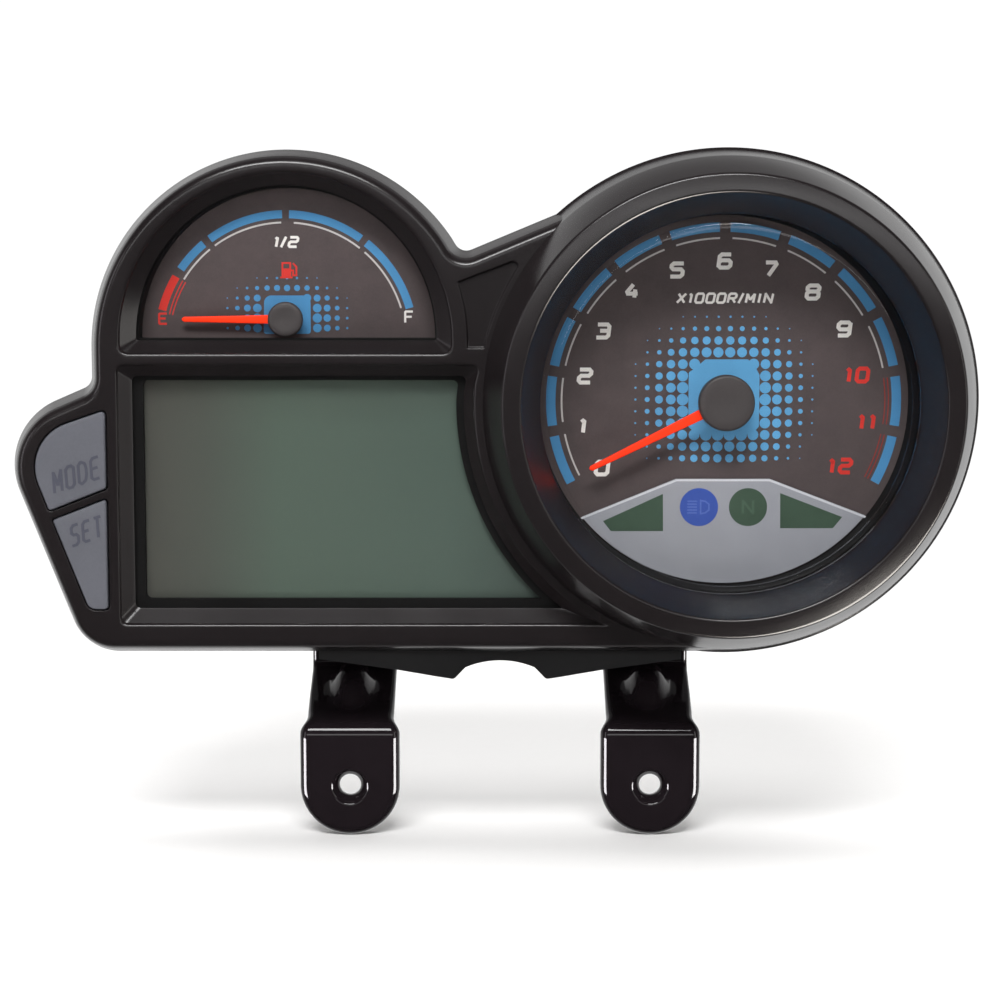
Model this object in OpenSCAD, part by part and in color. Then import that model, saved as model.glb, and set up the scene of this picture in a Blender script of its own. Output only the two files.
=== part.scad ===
// Motorcycle instrument cluster: round tachometer, fuel gauge, LCD window and two keys.
// X is right, Z is up, the face looks along -Y. The origin is midway between the two
// bracket holes, in the plane of their collars.

/* [Overall] */
// Distance between the two bracket hole centres
hole_pitch = 74; // [72:0.5:76]
// Bracket hole diameter, clearance for M5
hole_d = 5.2; // [5.1:0.1:5.6]
// Bracket sheet thickness
sheet_t = 2.5; // [2:0.1:3]
// Width of the bracket tab
tab_w = 24.5; // [22:0.5:26]

/* [Tachometer] */
// Outer radius of the tachometer barrel at its foot
tach_foot_r = 60; // [60:0.1:60.4]
// Height of the tachometer barrel in front of the main face
barrel_h = 13; // [10:0.5:15]
// Pointer length from its spindle
tach_len = 36; // [30:0.5:37]
// Radius of the pointer cap
tach_cap_r = 6.65; // [5.5:0.05:7.5]

/* [Fuel gauge] */
// Pointer length from its spindle
fuel_len = 24.6; // [18:0.2:25]
// Radius of the pointer cap
fuel_cap_r = 4.15; // [3.5:0.05:4.8]

/* [Keys] */
// How far a key stands in front of the main face
key_proud = 0.8; // [0.5:0.1:1.2]

/* [Hidden] */
$fn = 64;

// depth planes (Y grows away from the rider)
y_face = -20;              // main face of the bezel
y_front = y_face - barrel_h; // front of the tachometer barrel
y_foot = -11;              // foot of the bezel's sloping side
y_seat = -12.5;            // rebate for the seal
y_back = 20;               // back of the rear case
y_lens = -16.5;            // front of the flat lens
y_pcb = 7;                 // front of the circuit board
tach = [53.65, 95.3];      // tachometer axis, X and Z
fuel = [-50.67, 115.0];    // fuel gauge axis, X and Z
dome = [-50.16, 108.1];    // centre of the fuel gauge dome
dome_r = 46.7;
z_bot = 35.1;

// ---------- outline functions ----------
function unit(v) = v / norm(v);
function arc(c, r, a0, a1, n) = [for (i = [0:n]) let (a = a0 + (a1 - a0) * i / n) c + r * [cos(a), sin(a)]];
// arc that replaces corner B between A and C
function corner(A, B, C, r, n = 6) =
  let (u = unit(A - B), v = unit(C - B), h = acos(u * v) / 2, t = r / tan(h),
       c = B + unit(u + v) * (r / sin(h)), p = B + u * t - c, q = B + v * t - c,
       a = atan2(p[1], p[0]), b = atan2(q[1], q[0]), d = (b - a + 900) % 360 - 180)
  [for (k = [0:n]) c + r * [cos(a + d * k / n), sin(a + d * k / n)]];
// polygon with a radius at each vertex
function rounded(P, R, n = 6) = [for (i = [0:len(P) - 1])
  each (R[i] <= 0 ? [P[i]] : corner(P[(i + len(P) - 1) % len(P)], P[i], P[(i + 1) % len(P)], R[i], n))];
// counter-clockwise polygon moved inwards by d
function inset(P, d) = let (m = len(P)) [for (i = [0:m - 1])
  let (e = unit(P[i] - P[(i + m - 1) % m]), f = unit(P[(i + 1) % m] - P[i]),
       n1 = [-e[1], e[0]], n2 = [-f[1], f[0]], s = n1 + n2)
  P[i] + s * (d * 2 / (s * s))];

// whole outline at the foot of the bezel
outline = concat(
  arc(tach, tach_foot_r, -90, 131.6, 60),
  corner([14.15, 139.76], [-9.17, 130.48], [-11.44, 134.2], 3, 6),
  arc(dome, dome_r, 34, 180, 40),
  corner([-96.86, 104], [-96.86, 99.57], [-107.05, 95.14], 3, 6),
  corner([-101.05, 97.75], [-120.48, 89.3], [-115.54, 76.73], 16.9, 14),
  corner([-104.18, 47.8], [-99.19, z_bot], [-60, z_bot], 11.8, 12));

// half-round gauge window: radius, centre height, flat bottom, corner radius
function dshape(c, r, zb, rc) = concat(
  arc(c, r, 0, 180, 40),
  corner([c[0] - r, c[1]], [c[0] - r, zb], [c[0], zb], rc, 5),
  corner([c[0], zb], [c[0] + r, zb], [c[0] + r, c[1]], rc, 5));
// LCD window: its right side follows a circle round the tachometer
function lshape(x0, z0, z1, r, rc) =
  let (a0 = 180 - asin((z1 - tach[1]) / r), a1 = 180 + asin((tach[1] - z0) / r),
       p = tach + r * [cos(a0), sin(a0)], q = tach + r * [cos(a1), sin(a1)])
  concat(
    corner([p[0] + 1.3, z1 - 8], p, [x0, z1], rc, 5),
    corner([0, z1], [x0, z1], [x0, z0], rc, 5),
    corner([x0, z1], [x0, z0], [0, z0], rc, 5),
    [q],
    arc(tach, r, a1 - 3, a0 + 4, 20));

fuel_out = dshape([-50.16, 110.3], 38.7, 107.4, 2.0);
fuel_mid = dshape([-50.16, 110.6], 37.2, 108.6, 1.6);
fuel_in = dshape([-50.16, 111.0], 35.3, 110.2, 0.7);
lcd_out = lshape(-89.5, 43.5, 104.35, 60, 1.6);
lcd_mid = lshape(-88.3, 44.8, 103.3, 60.9, 1.5);
lcd_in = lshape(-86.6, 46.7, 101.9, 62.2, 1.4);
lcd_win = lshape(-84.3, 48.7, 100.8, 64.0, 1.3);
mode_shape = rounded([[-92.2, 94.4], [-112.7, 87.3], [-106.1, 70.0], [-92.2, 75.5]], [1.2, 11.2, 1.0, 0.9], 8);
set_shape = rounded([[-92.2, 73.5], [-105.5, 68.3], [-97.1, 46.7], [-92.2, 46.7]], [0.9, 0.7, 2.6, 1.2], 8);
pocket = rounded(concat(
  [[4.2, 129.2], [-9.9, 123.9]],
  arc([-50.16, 110.3], 42.5, 15, -2.4, 6),
  [[-3.0, 108.5]],
  arc(tach, 58.1, 166, 147, 6)),
  concat([1.2, 0.5], [for (i = [0:6]) 0], [0.6], [for (i = [0:6]) 0]), 4);

// screw positions, X and Z
case_pts = [tach + 52 * [cos(22), sin(22)], tach + 52 * [cos(-48), sin(-48)], tach + 52 * [cos(84), sin(84)],
  [-90.2, 116.6], [-5, 118], [-82, 41.5], [-8, 41.5], [27, 41.5]];
pcb_pts = [[-78, 56], [-68, 125], [-20, 56], [22, 112], [86.5, 67]];
bolt_pts = [[-hole_pitch / 2, 50], [-hole_pitch / 2, 62], [hole_pitch / 2, 50], [hole_pitch / 2, 62]];
leg_pts = [[-78, 122], [-22, 122], [-88, 62], [10, 58], [94, 115], [93, 78], [20, 125]];
mode_stem = [-100, 81.5];
set_stem = [-97.5, 62];
// LED positions on the board
led_pts = [[30, 88], [78, 88], [40, 118], [68, 118], [-66.5, 113], [-35, 113], [-74, 74], [-46, 74], [-18, 74]];
tell_pts = [[33.5, 68.2], [47.6, 72.4], [60.0, 72.4], [74.5, 68.4]];

// ---------- solids along Y ----------
module yext(y0, y1) translate([0, y1, 0]) rotate([90, 0, 0]) linear_extrude(height = y1 - y0) children();
module plate(P, y0, y1) yext(y0, y1) polygon(P);
module ycyl(p, y0, y1, r) translate([p[0], y1, p[1]]) rotate([90, 0, 0]) cylinder(h = y1 - y0, r = r);
// revolved about an axis along Y; profile points are [radius, Y]
module yrev(p, prof) translate([p[0], 0, p[1]]) rotate([90, 0, 0])
  rotate_extrude($fn = 128) polygon([for (q = prof) [q[0], -q[1]]]);
module box(a, b) translate(a) cube(b - a);

// ---------- casing ----------
module front_bezel() color([0.055, 0.053, 0.055]) difference() {
  union() {
    difference() {
      // sloping side in four shallow steps
      for (i = [0:3]) plate(inset(outline, 0.7 * i), y_foot - [2.4, 4.8, 7.2, 9][i], y_foot);
      plate(inset(outline, 4.8), y_face + 2.5, y_foot + 1);
      plate(inset(outline, 2.6), y_seat, y_foot + 1);
      ycyl(tach, y_face - 1, y_face + 3, 54.0);
    }
    // barrel: sloping outside, flat front band, sloping inside down to the lens seat
    yrev(tach, [[48.9, y_front], [53.0, y_front], [57.0, y_face], [57.0, y_face + 0.5], [54.4, y_face + 0.5],
      [51.6, y_front + 2.6], [50.9, y_front + 2.6], [49.2, y_face - 4], [49.2, y_face + 0.5], [47.2, y_face + 0.5],
      [47.2, y_face - 2], [44.6, y_face - 2], [44.6, y_face - 3.5]]);
    // local thickening round the windows
    plate(rounded([[-12, 103.5], [-12, 113], [-15.5, 113], [-15.5, 112], [-85, 112], [-85, 113], [-89, 113], [-89, 103.5]],
      [0, 0, 0, 0, 0, 0, 0, 0]), y_face + 2.4, y_lens);
    difference() {
      plate(inset(fuel_out, -0.6), y_face + 2.4, y_lens);
      plate(fuel_in, y_face + 2, y_lens + 1);
    }
    difference() {
      plate(inset(lcd_out, -0.6), y_face + 2.4, y_lens);
      plate(lcd_in, y_face + 2, y_lens + 1);
    }
    for (i = [0:2]) ycyl(case_pts[i], y_face - 8, y_seat, 2.2);
    for (i = [3:7]) ycyl(case_pts[i], y_face + 2.4, y_seat, 2.2);
  }
  plate(fuel_out, y_face - 1, y_face + 1.2);
  plate(fuel_mid, y_face - 1, y_face + 2.4);
  plate(fuel_in, y_face - 1, y_lens + 1);
  plate(lcd_out, y_face - 1, y_face + 1.2);
  plate(lcd_mid, y_face - 1, y_face + 2.4);
  plate(lcd_in, y_face - 1, y_lens + 1);
  plate(pocket, y_face - 1, y_face + 0.8);
  plate(mode_shape, y_face - 1, y_face + 4);
  plate(set_shape, y_face - 1, y_face + 4);
  for (p = case_pts) ycyl(p, y_face + 3.6, y_foot, 1.1);
}

skirt = concat([[-43.8, 38.05], [-43.8, 32.9], [-24.3, 30.2], [-14.5, 28.5]],
  corner([-14.5, 28.5], [-11.2, 28.0], [-9.0, 30.0], 1.2, 4),
  arc([0, 11.2], 21.4, 113, 67, 12),
  corner([9.0, 30.0], [11.2, 28.0], [14.5, 28.5], 1.2, 4),
  [[14.5, 28.5], [24.3, 30.2], [43.8, 32.9], [43.8, 38.05]]);

module rear_case() color([0.07, 0.07, 0.072]) difference() {
  union() {
    difference() {
      union() {
        plate(inset(outline, 3.0), y_foot - 1, y_pcb + 3.6);
        plate(inset(outline, 6.5), y_pcb + 3.5, y_back);
      }
      plate(inset(outline, 5.2), y_foot - 2, y_pcb + 1.6);
      plate(inset(outline, 8.7), y_pcb + 1.5, y_back - 2.5);
    }
    for (p = case_pts) ycyl(p, y_foot - 1, y_back - 1, 3.3);
    for (p = pcb_pts) ycyl(p, y_pcb + 1.6, y_back - 1, 3.2);
    for (p = bolt_pts) ycyl(p, y_pcb + 3, y_back - 1, 5.2);
    // stiffening ribs on the back
    for (x = [-72, 72]) box([x - 1, y_back - 0.5, 60], [x + 1, y_back + 1.5, 118]);
    ycyl([53.65, 95.3], y_back - 0.5, y_back + 1.5, 22);
  }
  ycyl([53.65, 95.3], y_back - 0.2, y_back + 3, 20);
  for (p = case_pts) {
    ycyl(p, y_foot - 2, 13, 1.6);
    ycyl(p, 2, y_back + 3, 2.45);
  }
  for (p = pcb_pts) ycyl(p, y_pcb + 1, y_pcb + 9, 1.1);
  for (p = bolt_pts) ycyl(p, y_pcb + 4, y_back + 3, 3.4);
  // openings for the harness socket and the vent
  box([-15.6, y_back - 4, 62.4], [15.6, y_back + 3, 77.6]);
  ycyl([-58, 92], y_back - 4, y_back + 3, 4.0);
}

// plate under the case, between the bracket arms, with its clearance arch
module lower_skirt() color([0.06, 0.06, 0.06]) plate(skirt, -8, -5.5);

module case_seal() color([0.09, 0.09, 0.09]) difference() {
  plate(inset(outline, 3.0), y_seat, y_foot - 1);
  plate(inset(outline, 5.15), y_seat - 1, y_foot);
  for (p = case_pts) ycyl(p, y_seat - 1, y_foot, 1.4);
}

// ---------- lenses ----------
lens_shape_lcd = inset(lcd_in, -1.4);
lens_shape_fuel = inset(fuel_in, -1.4);
module pane(y0, y1, k = 0) {
  plate(inset(lens_shape_lcd, k), y0, y1);
  plate(inset(lens_shape_fuel, k), y0, y1);
  plate([[-84, 101], [-18, 101], [-18, 112], [-84, 112]], y0, y1);
}
module window_lens() color([0.85, 0.9, 0.9, 0.25]) union() pane(y_lens, y_lens + 1.5);
module tach_lens() color([0.85, 0.9, 0.9, 0.25]) yrev(tach, concat(
  [[0, -26.2], [14, -26.05], [28, -25.6], [38, -25.0]],
  [for (i = [0:6]) let (a = 90 - 15 * i) [43.0 + 1.2 * cos(a), -23.5 - 1.2 * sin(a)]],
  [[44.2, -21.6], [47.0, -21.6], [47.0, -20.2], [42.7, -20.2], [42.6, -22.4], [41.9, -23.0], [38, -23.3],
   [28, -23.8], [14, -24.25], [0, -24.4]]));
module tach_lens_seal() color([0.08, 0.08, 0.08]) yrev(tach, [[44.7, -22], [47.1, -22], [47.1, -21.6], [44.7, -21.6]]);
module tach_shroud() color([0.04, 0.04, 0.04]) yrev(tach, [[44.3, -20.2], [47.0, -20.2], [47.0, -19.0], [45.8, -18.0],
  [45.8, -7.4], [47.2, -7.2], [47.2, -6], [44.3, -6]]);

// ---------- dials and their carrier ----------
module window_mask() color([0.03, 0.03, 0.03]) difference() {
  union() {
    pane(y_lens + 1.5, -13, 0);
    plate(inset(lens_shape_fuel, 0.3), -13.1, -9.5);
  }
  plate(inset(fuel_in, 0.4), -16, -9);
  plate(lcd_win, -16, -9);
}
module fuel_dial() color([0.12, 0.11, 0.11]) difference() {
  plate(inset(lens_shape_fuel, 0.3), -9.5, -8.7);
  ycyl(fuel, -10, -8, 1.6);
}
module tach_dial() color([0.12, 0.11, 0.11]) difference() {
  ycyl(tach, -6, -5, 47.2);
  ycyl(tach, -7, -4, 1.8);
  for (p = tell_pts) ycyl(p, -7, -4, 1.9);
}
arrow_l = [[24.8, 66.4], [39.2, 73.0], [39.3, 64.0], [26.7, 64.0]];
arrow_r = [[67.4, 73.2], [82.4, 67.4], [80.2, 64.7], [67.5, 64.7]];
module indicator_trim() color([0.62, 0.65, 0.68]) difference() {
  intersection() {
    plate([[16.8, 66.2], [17, 45], [92, 45], [92, 66.2], [64.9, 76.6], [42.3, 76.6]], -7, -6);
    ycyl(tach, -8, -5, 43.9);
  }
  plate(arrow_l, -8, -5);
  plate(arrow_r, -8, -5);
  ycyl([47.9, 69.8], -8, -5, 4.6);
  ycyl([59.7, 69.8], -8, -5, 4.6);
}
module turn_signal_lenses() color([0.16, 0.28, 0.2]) {
  plate(arrow_l, -7.05, -6);
  plate(arrow_r, -7.05, -6);
}
module high_beam_lens() color([0.2, 0.32, 0.7]) ycyl([47.9, 69.8], -7.05, -6, 4.6);
module neutral_lens() color([0.16, 0.3, 0.22]) ycyl([59.7, 69.8], -7.05, -6, 4.6);
module telltale_light_box() color([0.9, 0.9, 0.88]) difference() {
  box([24, -3, 63], [83, 5.8, 79]);
  for (p = tell_pts) ycyl(p, -4, 7, 4.2);
  ycyl([53.65, 95.3], -4, 7, 19);
}
module dial_carrier() color([0.86, 0.86, 0.84]) difference() {
  union() {
    plate(inset(outline, 6.2), -5, -3);
    difference() {
      plate(inset(lens_shape_fuel, 0.3), -8.7, -4.5);
      plate(dshape([-50.16, 112.6], 32.6, 111.4, 0.8), -9, -4.6);
    }
    difference() {
      plate(inset(lcd_win, -2.2), -7, -4.5);
      plate(inset(lcd_win, -0.4), -8, -4.6);
    }
    for (p = leg_pts) ycyl(p, -3.5, y_pcb, 2.4);
  }
  for (p = case_pts) ycyl(p, -10, 0, 3.8);
  ycyl(tach, -6, -2, 4);
  ycyl(fuel, -6, -2, 4);
  for (p = tell_pts) ycyl(p, -6, -2, 3.4);
  for (p = led_pts) ycyl(p, -6, -2, 3);
  ycyl(mode_stem, -6, -2, 3.2);
  ycyl(set_stem, -6, -2, 3.2);
  box([-80, -6, 49.6], [-18, -2, 52.4]);
}

// ---------- LCD ----------
module lcd_panel() color([0.34, 0.42, 0.38]) plate(inset(lcd_win, -1.3), -13, -10.4);
module lcd_backlight() color([0.8, 0.9, 0.85]) plate(inset(lcd_win, -0.6), -10.4, -7.2);
module lcd_holder() color([0.9, 0.9, 0.9]) difference() {
  plate(inset(lcd_win, -2.2), -12.6, -7);
  plate(inset(lcd_win, -1.35), -13, -10.4);
  plate(inset(lcd_win, -0.65), -10.5, -6);
}
module lcd_pins() color([0.75, 0.72, 0.6]) for (i = [0:19]) box([-78.3 + 3 * i, -7.2, 50.7], [-77.7 + 3 * i, 8.8, 51.3]);

// ---------- electronics ----------
module main_pcb() color([0.05, 0.25, 0.13]) difference() {
  plate(inset(outline, 6.6), y_pcb, y_pcb + 1.6);
  for (p = case_pts) ycyl(p, y_pcb - 1, y_pcb + 3, 3.8);
  for (p = pcb_pts) ycyl(p, y_pcb - 1, y_pcb + 3, 1.6);
  for (i = [0:19]) box([-78.4 + 3 * i, y_pcb - 1, 50.6], [-77.6 + 3 * i, y_pcb + 3, 51.4]);
}
module microcontroller() color([0.06, 0.06, 0.06]) {
  box([-6, 8.6, 92], [8, 10.2, 106]);
  for (i = [0:9]) {
    box([-5.3 + 1.4 * i, 8.6, 90.4], [-4.8 + 1.4 * i, 9.2, 92]);
    box([-5.3 + 1.4 * i, 8.6, 106], [-4.8 + 1.4 * i, 9.2, 107.6]);
  }
}
module capacitors() color([0.1, 0.1, 0.16]) {
  ycyl([-14, 84], 8.6, 16.4, 4);
  ycyl([-25, 84], 8.6, 16.4, 4);
  ycyl([-2, 84], 8.6, 13.6, 2.5);
}
module voltage_regulator() color([0.08, 0.08, 0.08]) {
  box([12, 8.6, 84], [22, 12.8, 90]);
  box([11.5, 8.6, 90], [22.5, 9.6, 95]);
}
module backlight_leds() color([0.95, 0.95, 0.8]) for (p = led_pts) box([p[0] - 1.6, 5.2, p[1] - 1.4], [p[0] + 1.6, 7, p[1] + 1.4]);
module telltale_leds() color([0.95, 0.95, 0.9]) for (p = tell_pts) box([p[0] - 1.6, 5.9, p[1] - 1.4], [p[0] + 1.6, 7, p[1] + 1.4]);

// ---------- moving-magnet movements ----------
module movement_can(p) difference() {
  ycyl(p, -2.8, y_pcb, 11.2);
  ycyl(p, -2.2, y_pcb + 1, 10.6);
  ycyl(p, -4, 0, 1.4);
}
module bobbin(p) translate([p[0], 0, p[1]]) difference() {
  union() {
    box([-7.2, -1.25, -7.2], [7.2, 5.25, 7.2]);
    for (sx = [-1, 1], sz = [-1, 1]) box([sx * 6 - 1, 5.2, sz * 6 - 1], [sx * 6 + 1, y_pcb, sz * 6 + 1]);
  }
  ycyl([0, 0], 0, 4.2, 5.6);
  ycyl([0, 0], -2, 1, 0.64);
  ycyl([0, 0], 4, 4.9, 0.64);
}
// one winding in two bundles, one on each side of the spindle
module coil(p, a, s, y0, y1, w) translate([p[0], 0, p[1]]) rotate([0, a, 0]) for (k = [-1, 1]) difference() {
  box([k * 3 - 1.6, y0, -s], [k * 3 + 1.6, y1, s]);
  box([k * 3 - 2, y0 + w, -7.25], [k * 3 + 2, y1 - w, 7.25]);
}
module magnet(p) difference() {
  ycyl(p, 0.5, 3.7, 5.0);
  ycyl(p, 0, 5, 0.6);
}
module spindle(p, y0) ycyl(p, y0, 4.8, 0.6);

module tach_movement_can() color([0.7, 0.7, 0.72]) movement_can(tach);
module tach_bobbin() color([0.85, 0.83, 0.75]) bobbin(tach);
module tach_coil_sine() color([0.72, 0.35, 0.15]) coil(tach, 0, 8.2, -1.65, 5.65, 0.35);
module tach_coil_cosine() color([0.72, 0.35, 0.15]) coil(tach, 90, 8.2, -2.05, 6.05, 0.35);
module fuel_movement_can() color([0.7, 0.7, 0.72]) movement_can(fuel);
module fuel_bobbin() color([0.85, 0.83, 0.75]) bobbin(fuel);
module fuel_coil_sine() color([0.72, 0.35, 0.15]) coil(fuel, 0, 8.2, -1.65, 5.65, 0.35);
module fuel_coil_cosine() color([0.72, 0.35, 0.15]) coil(fuel, 90, 8.2, -2.05, 6.05, 0.35);
module tach_rotor_magnet() color([0.25, 0.25, 0.27]) magnet(tach);
module tach_spindle() color([0.75, 0.75, 0.78]) spindle(tach, -13.2);
module fuel_rotor_magnet() color([0.25, 0.25, 0.27]) magnet(fuel);
module fuel_spindle() color([0.75, 0.75, 0.78]) spindle(fuel, -13.0);

// pointer bar from a spindle towards angle a, tapering from w0 to w1
module pointer(p, a, len, w0, w1, y0, y1, hub) difference() {
  union() {
    translate([p[0], 0, p[1]]) rotate([0, -a, 0]) plate([[0, -w0 / 2], [len - 0.3, -w1 / 2], [len, -w1 / 2 + 0.3],
      [len, w1 / 2 - 0.3], [len - 0.3, w1 / 2], [0, w0 / 2]], y0, y1);
    ycyl(p, y0, y1 + 1.2, hub);
  }
  ycyl(p, y0 - 1, y1 + 3, 0.6);
}
module tach_needle() color([1, 0.2, 0.03]) pointer(tach, 206.3, tach_len, 2.3, 1.25, -12.0, -11.0, 4);
module tach_needle_cap() color([0.07, 0.065, 0.065]) yrev(tach, [[0, -15.2], [4.2, -15.1], [tach_cap_r - 0.55, -14.8], [tach_cap_r, -14.2],
  [tach_cap_r, -12.0], [0.6, -12.0], [0.6, -13.2], [0, -13.2]]);
module fuel_needle() color([1, 0.2, 0.03]) pointer(fuel, 180, fuel_len, 1.9, 1.2, -12.2, -11.4, 2.6);
module fuel_needle_cap() color([0.07, 0.065, 0.065]) yrev(fuel, [[0, -14.4], [2.6, -14.3], [fuel_cap_r - 0.4, -14.1], [fuel_cap_r, -13.6],
  [fuel_cap_r, -12.2], [0.6, -12.2], [0.6, -13.0], [0, -13.0]]);

// ---------- keys ----------
module key(S, stem) union() {
  plate(inset(S, 0.3), y_face - key_proud, -16);
  plate(inset(S, -0.7), -17.2, -16);
  ycyl(stem, -16.1, 2, 2.4);
}
module tact(p) difference() {
  box([p[0] - 3, 3.5, p[1] - 3], [p[0] + 3, y_pcb, p[1] + 3]);
  ycyl(p, 3, 5.4, 1.8);
}
module mode_button() color([0.42, 0.43, 0.47]) key(mode_shape, mode_stem);
module set_button() color([0.42, 0.43, 0.47]) key(set_shape, set_stem);
module mode_switch() color([0.1, 0.1, 0.1]) tact(mode_stem);
module set_switch() color([0.1, 0.1, 0.1]) tact(set_stem);
module mode_switch_plunger() color([0.7, 0.6, 0.3]) ycyl(mode_stem, 2, 4.2, 1.72);
module set_switch_plunger() color([0.7, 0.6, 0.3]) ycyl(set_stem, 2, 4.2, 1.72);

// ---------- back fittings ----------
module harness_socket() color([0.85, 0.84, 0.8]) difference() {
  union() {
    box([-15, y_pcb + 1.6, 63], [15, 29, 77]);
    box([-3, 28.9 - 8, 77], [3, 28, 78.4]);
  }
  box([-13.2, 16, 64.8], [13.2, 30, 75.2]);
}
module harness_pins() color([0.8, 0.72, 0.4]) for (i = [0:7], k = [0, 1])
  box([-11 + 3 * i - 0.35, 16, 68 + 4 * k - 0.35], [-11 + 3 * i + 0.35, 21.5, 68 + 4 * k + 0.35]);
module vent_plug() color([0.12, 0.12, 0.12]) union() {
  ycyl([-58, 92], y_back - 2.5, y_back, 4.0);
  ycyl([-58, 92], y_back, y_back + 1.6, 6);
}

// sheet strip seen from the side: mid-line points [Y, Z] with bend radii
strip = concat([[22.75, 68]], corner([22.75, 68], [22.75, 25.4], [-0.75, 14.0], 3.4, 6),
  corner([22.75, 25.4], [-0.75, 14.0], [-0.75, -20], 3.4, 6), [[-0.75, -20]]);
function side(P, d) = let (m = len(P)) [for (i = [0:m - 1])
  let (e = unit(P[min(i + 1, m - 1)] - P[max(i - 1, 0)])) P[i] + d * [-e[1], e[0]]];
strip_poly = concat(side(strip, sheet_t / 2), [for (i = [len(strip) - 1:-1:0]) side(strip, -sheet_t / 2)[i]]);
hw = tab_w / 2;
tab_end = arc([0, 0], hw, 180, 360, 24);
arm = concat(tab_end, corner([hw, 0], [hw, 16.5], [10.7, 20.5], 3, 4), corner([hw, 16.5], [10.7, 20.5], [10.7, 40], 3, 4),
  corner([10.7, 40], [10.7, 68], [0, 68], 4, 5), corner([0, 68], [-10.7, 68], [-10.7, 40], 4, 5),
  corner([-10.7, 40], [-10.7, 20.5], [-hw, 16.5], 3, 4), corner([-10.7, 20.5], [-hw, 16.5], [-hw, 0], 3, 4));
lip = concat(tab_end, [[hw, 11], [-hw, 11]]);
module bracket() difference() {
  union() {
    intersection() {
      translate([-20, 0, 0]) rotate([90, 0, 90]) linear_extrude(height = 40) polygon(strip_poly);
      plate(arm, -5, 30);
    }
    // turned-back edge round the tab
    difference() {
      plate(lip, -2, 3.2);
      plate(concat(arc([0, 0], hw - 2, 180, 360, 24), [[hw - 2, 12], [-hw + 2, 12]]), 0.5, 4);
    }
    // collar of the drawn hole
    ycyl([0, 0], 0.4, 2, 4.3);
    // pressed gusset across the upper bend
    intersection() {
      translate([0, 19.6, 26.6]) sphere(r = 6.2);
      box([-8, 0, 22], [8, 22, 40]);
    }
  }
  ycyl([0, 0], -5, 6, hole_d / 2);
  yrev([0, 0], [[0, -3], [4.6, -3], [4.25, -2.0], [3.85, -1.75], [3.4, -1.2], [3.0, -0.6], [hole_d / 2, -0.5], [0, -0.5]]);
  for (z = [50, 62]) ycyl([0, z], 20, 26, 2.75);
}
module bracket_left() color([0.02, 0.02, 0.022]) translate([-hole_pitch / 2, 0, 0]) bracket();
module bracket_right() color([0.02, 0.02, 0.022]) translate([hole_pitch / 2, 0, 0]) bracket();
module bracket_pads() color([0.08, 0.08, 0.08]) for (s = [-1, 1]) difference() {
  plate(rounded([[s * hole_pitch / 2 - 10.7, 42.5], [s * hole_pitch / 2 + 10.7, 42.5], [s * hole_pitch / 2 + 10.7, 68],
    [s * hole_pitch / 2 - 10.7, 68]], [2, 2, 4, 4]), y_back, y_back + 1.5);
  for (z = [50, 62]) ycyl([s * hole_pitch / 2, z], y_back - 1, y_back + 3, 2.75);
}
module bracket_washers() color([0.7, 0.7, 0.72]) for (p = bolt_pts) difference() {
  ycyl(p, 24, 25, 5);
  ycyl(p, 23, 26, 2.7);
}
module bracket_bolts() color([0.65, 0.66, 0.68]) for (p = bolt_pts) union() {
  ycyl(p, 12.5, 25.5, 2.5);
  translate([p[0], 29, p[1]]) rotate([90, 0, 0]) cylinder(h = 4, r = 4.6, $fn = 6);
}
module threaded_inserts() color([0.75, 0.6, 0.3]) for (p = bolt_pts) difference() {
  ycyl(p, y_pcb + 4, y_back, 3.4);
  ycyl(p, y_pcb + 3, y_back + 1, 2.5);
}
module case_screws() color([0.6, 0.6, 0.62]) for (p = case_pts) union() {
  ycyl(p, -15.6, 2.2, 1.1);
  difference() {
    ycyl(p, 2, 4.2, 2.3);
    box([p[0] - 0.35, 3.4, p[1] - 1.6], [p[0] + 0.35, 5, p[1] + 1.6]);
    box([p[0] - 1.6, 3.4, p[1] - 0.35], [p[0] + 1.6, 5, p[1] + 0.35]);
  }
}
module pcb_screws() color([0.6, 0.6, 0.62]) for (p = pcb_pts) union() {
  ycyl(p, y_pcb, y_pcb + 8, 1.1);
  ycyl(p, y_pcb - 2, y_pcb, 2.6);
}

front_bezel();
rear_case();
lower_skirt();
case_seal();
window_lens();
tach_lens();
tach_lens_seal();
tach_shroud();
window_mask();
dial_carrier();
tach_dial();
fuel_dial();
indicator_trim();
turn_signal_lenses();
high_beam_lens();
neutral_lens();
telltale_light_box();
lcd_panel();
lcd_backlight();
lcd_holder();
lcd_pins();
main_pcb();
microcontroller();
capacitors();
voltage_regulator();
backlight_leds();
telltale_leds();
tach_movement_can();
tach_bobbin();
tach_coil_sine();
tach_coil_cosine();
fuel_movement_can();
fuel_bobbin();
fuel_coil_sine();
fuel_coil_cosine();
mode_switch();
set_switch();
harness_socket();
harness_pins();
vent_plug();
bracket_left();
bracket_right();
bracket_pads();
bracket_bolts();
bracket_washers();
threaded_inserts();
case_screws();
pcb_screws();
tach_needle();
tach_needle_cap();
tach_rotor_magnet();
tach_spindle();
fuel_needle();
fuel_needle_cap();
fuel_rotor_magnet();
fuel_spindle();
mode_button();
mode_switch_plunger();
set_button();
set_switch_plunger();
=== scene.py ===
import math
import random

import bmesh
import bpy
from mathutils import Matrix, Vector
from mathutils.geometry import delaunay_2d_cdt


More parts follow.
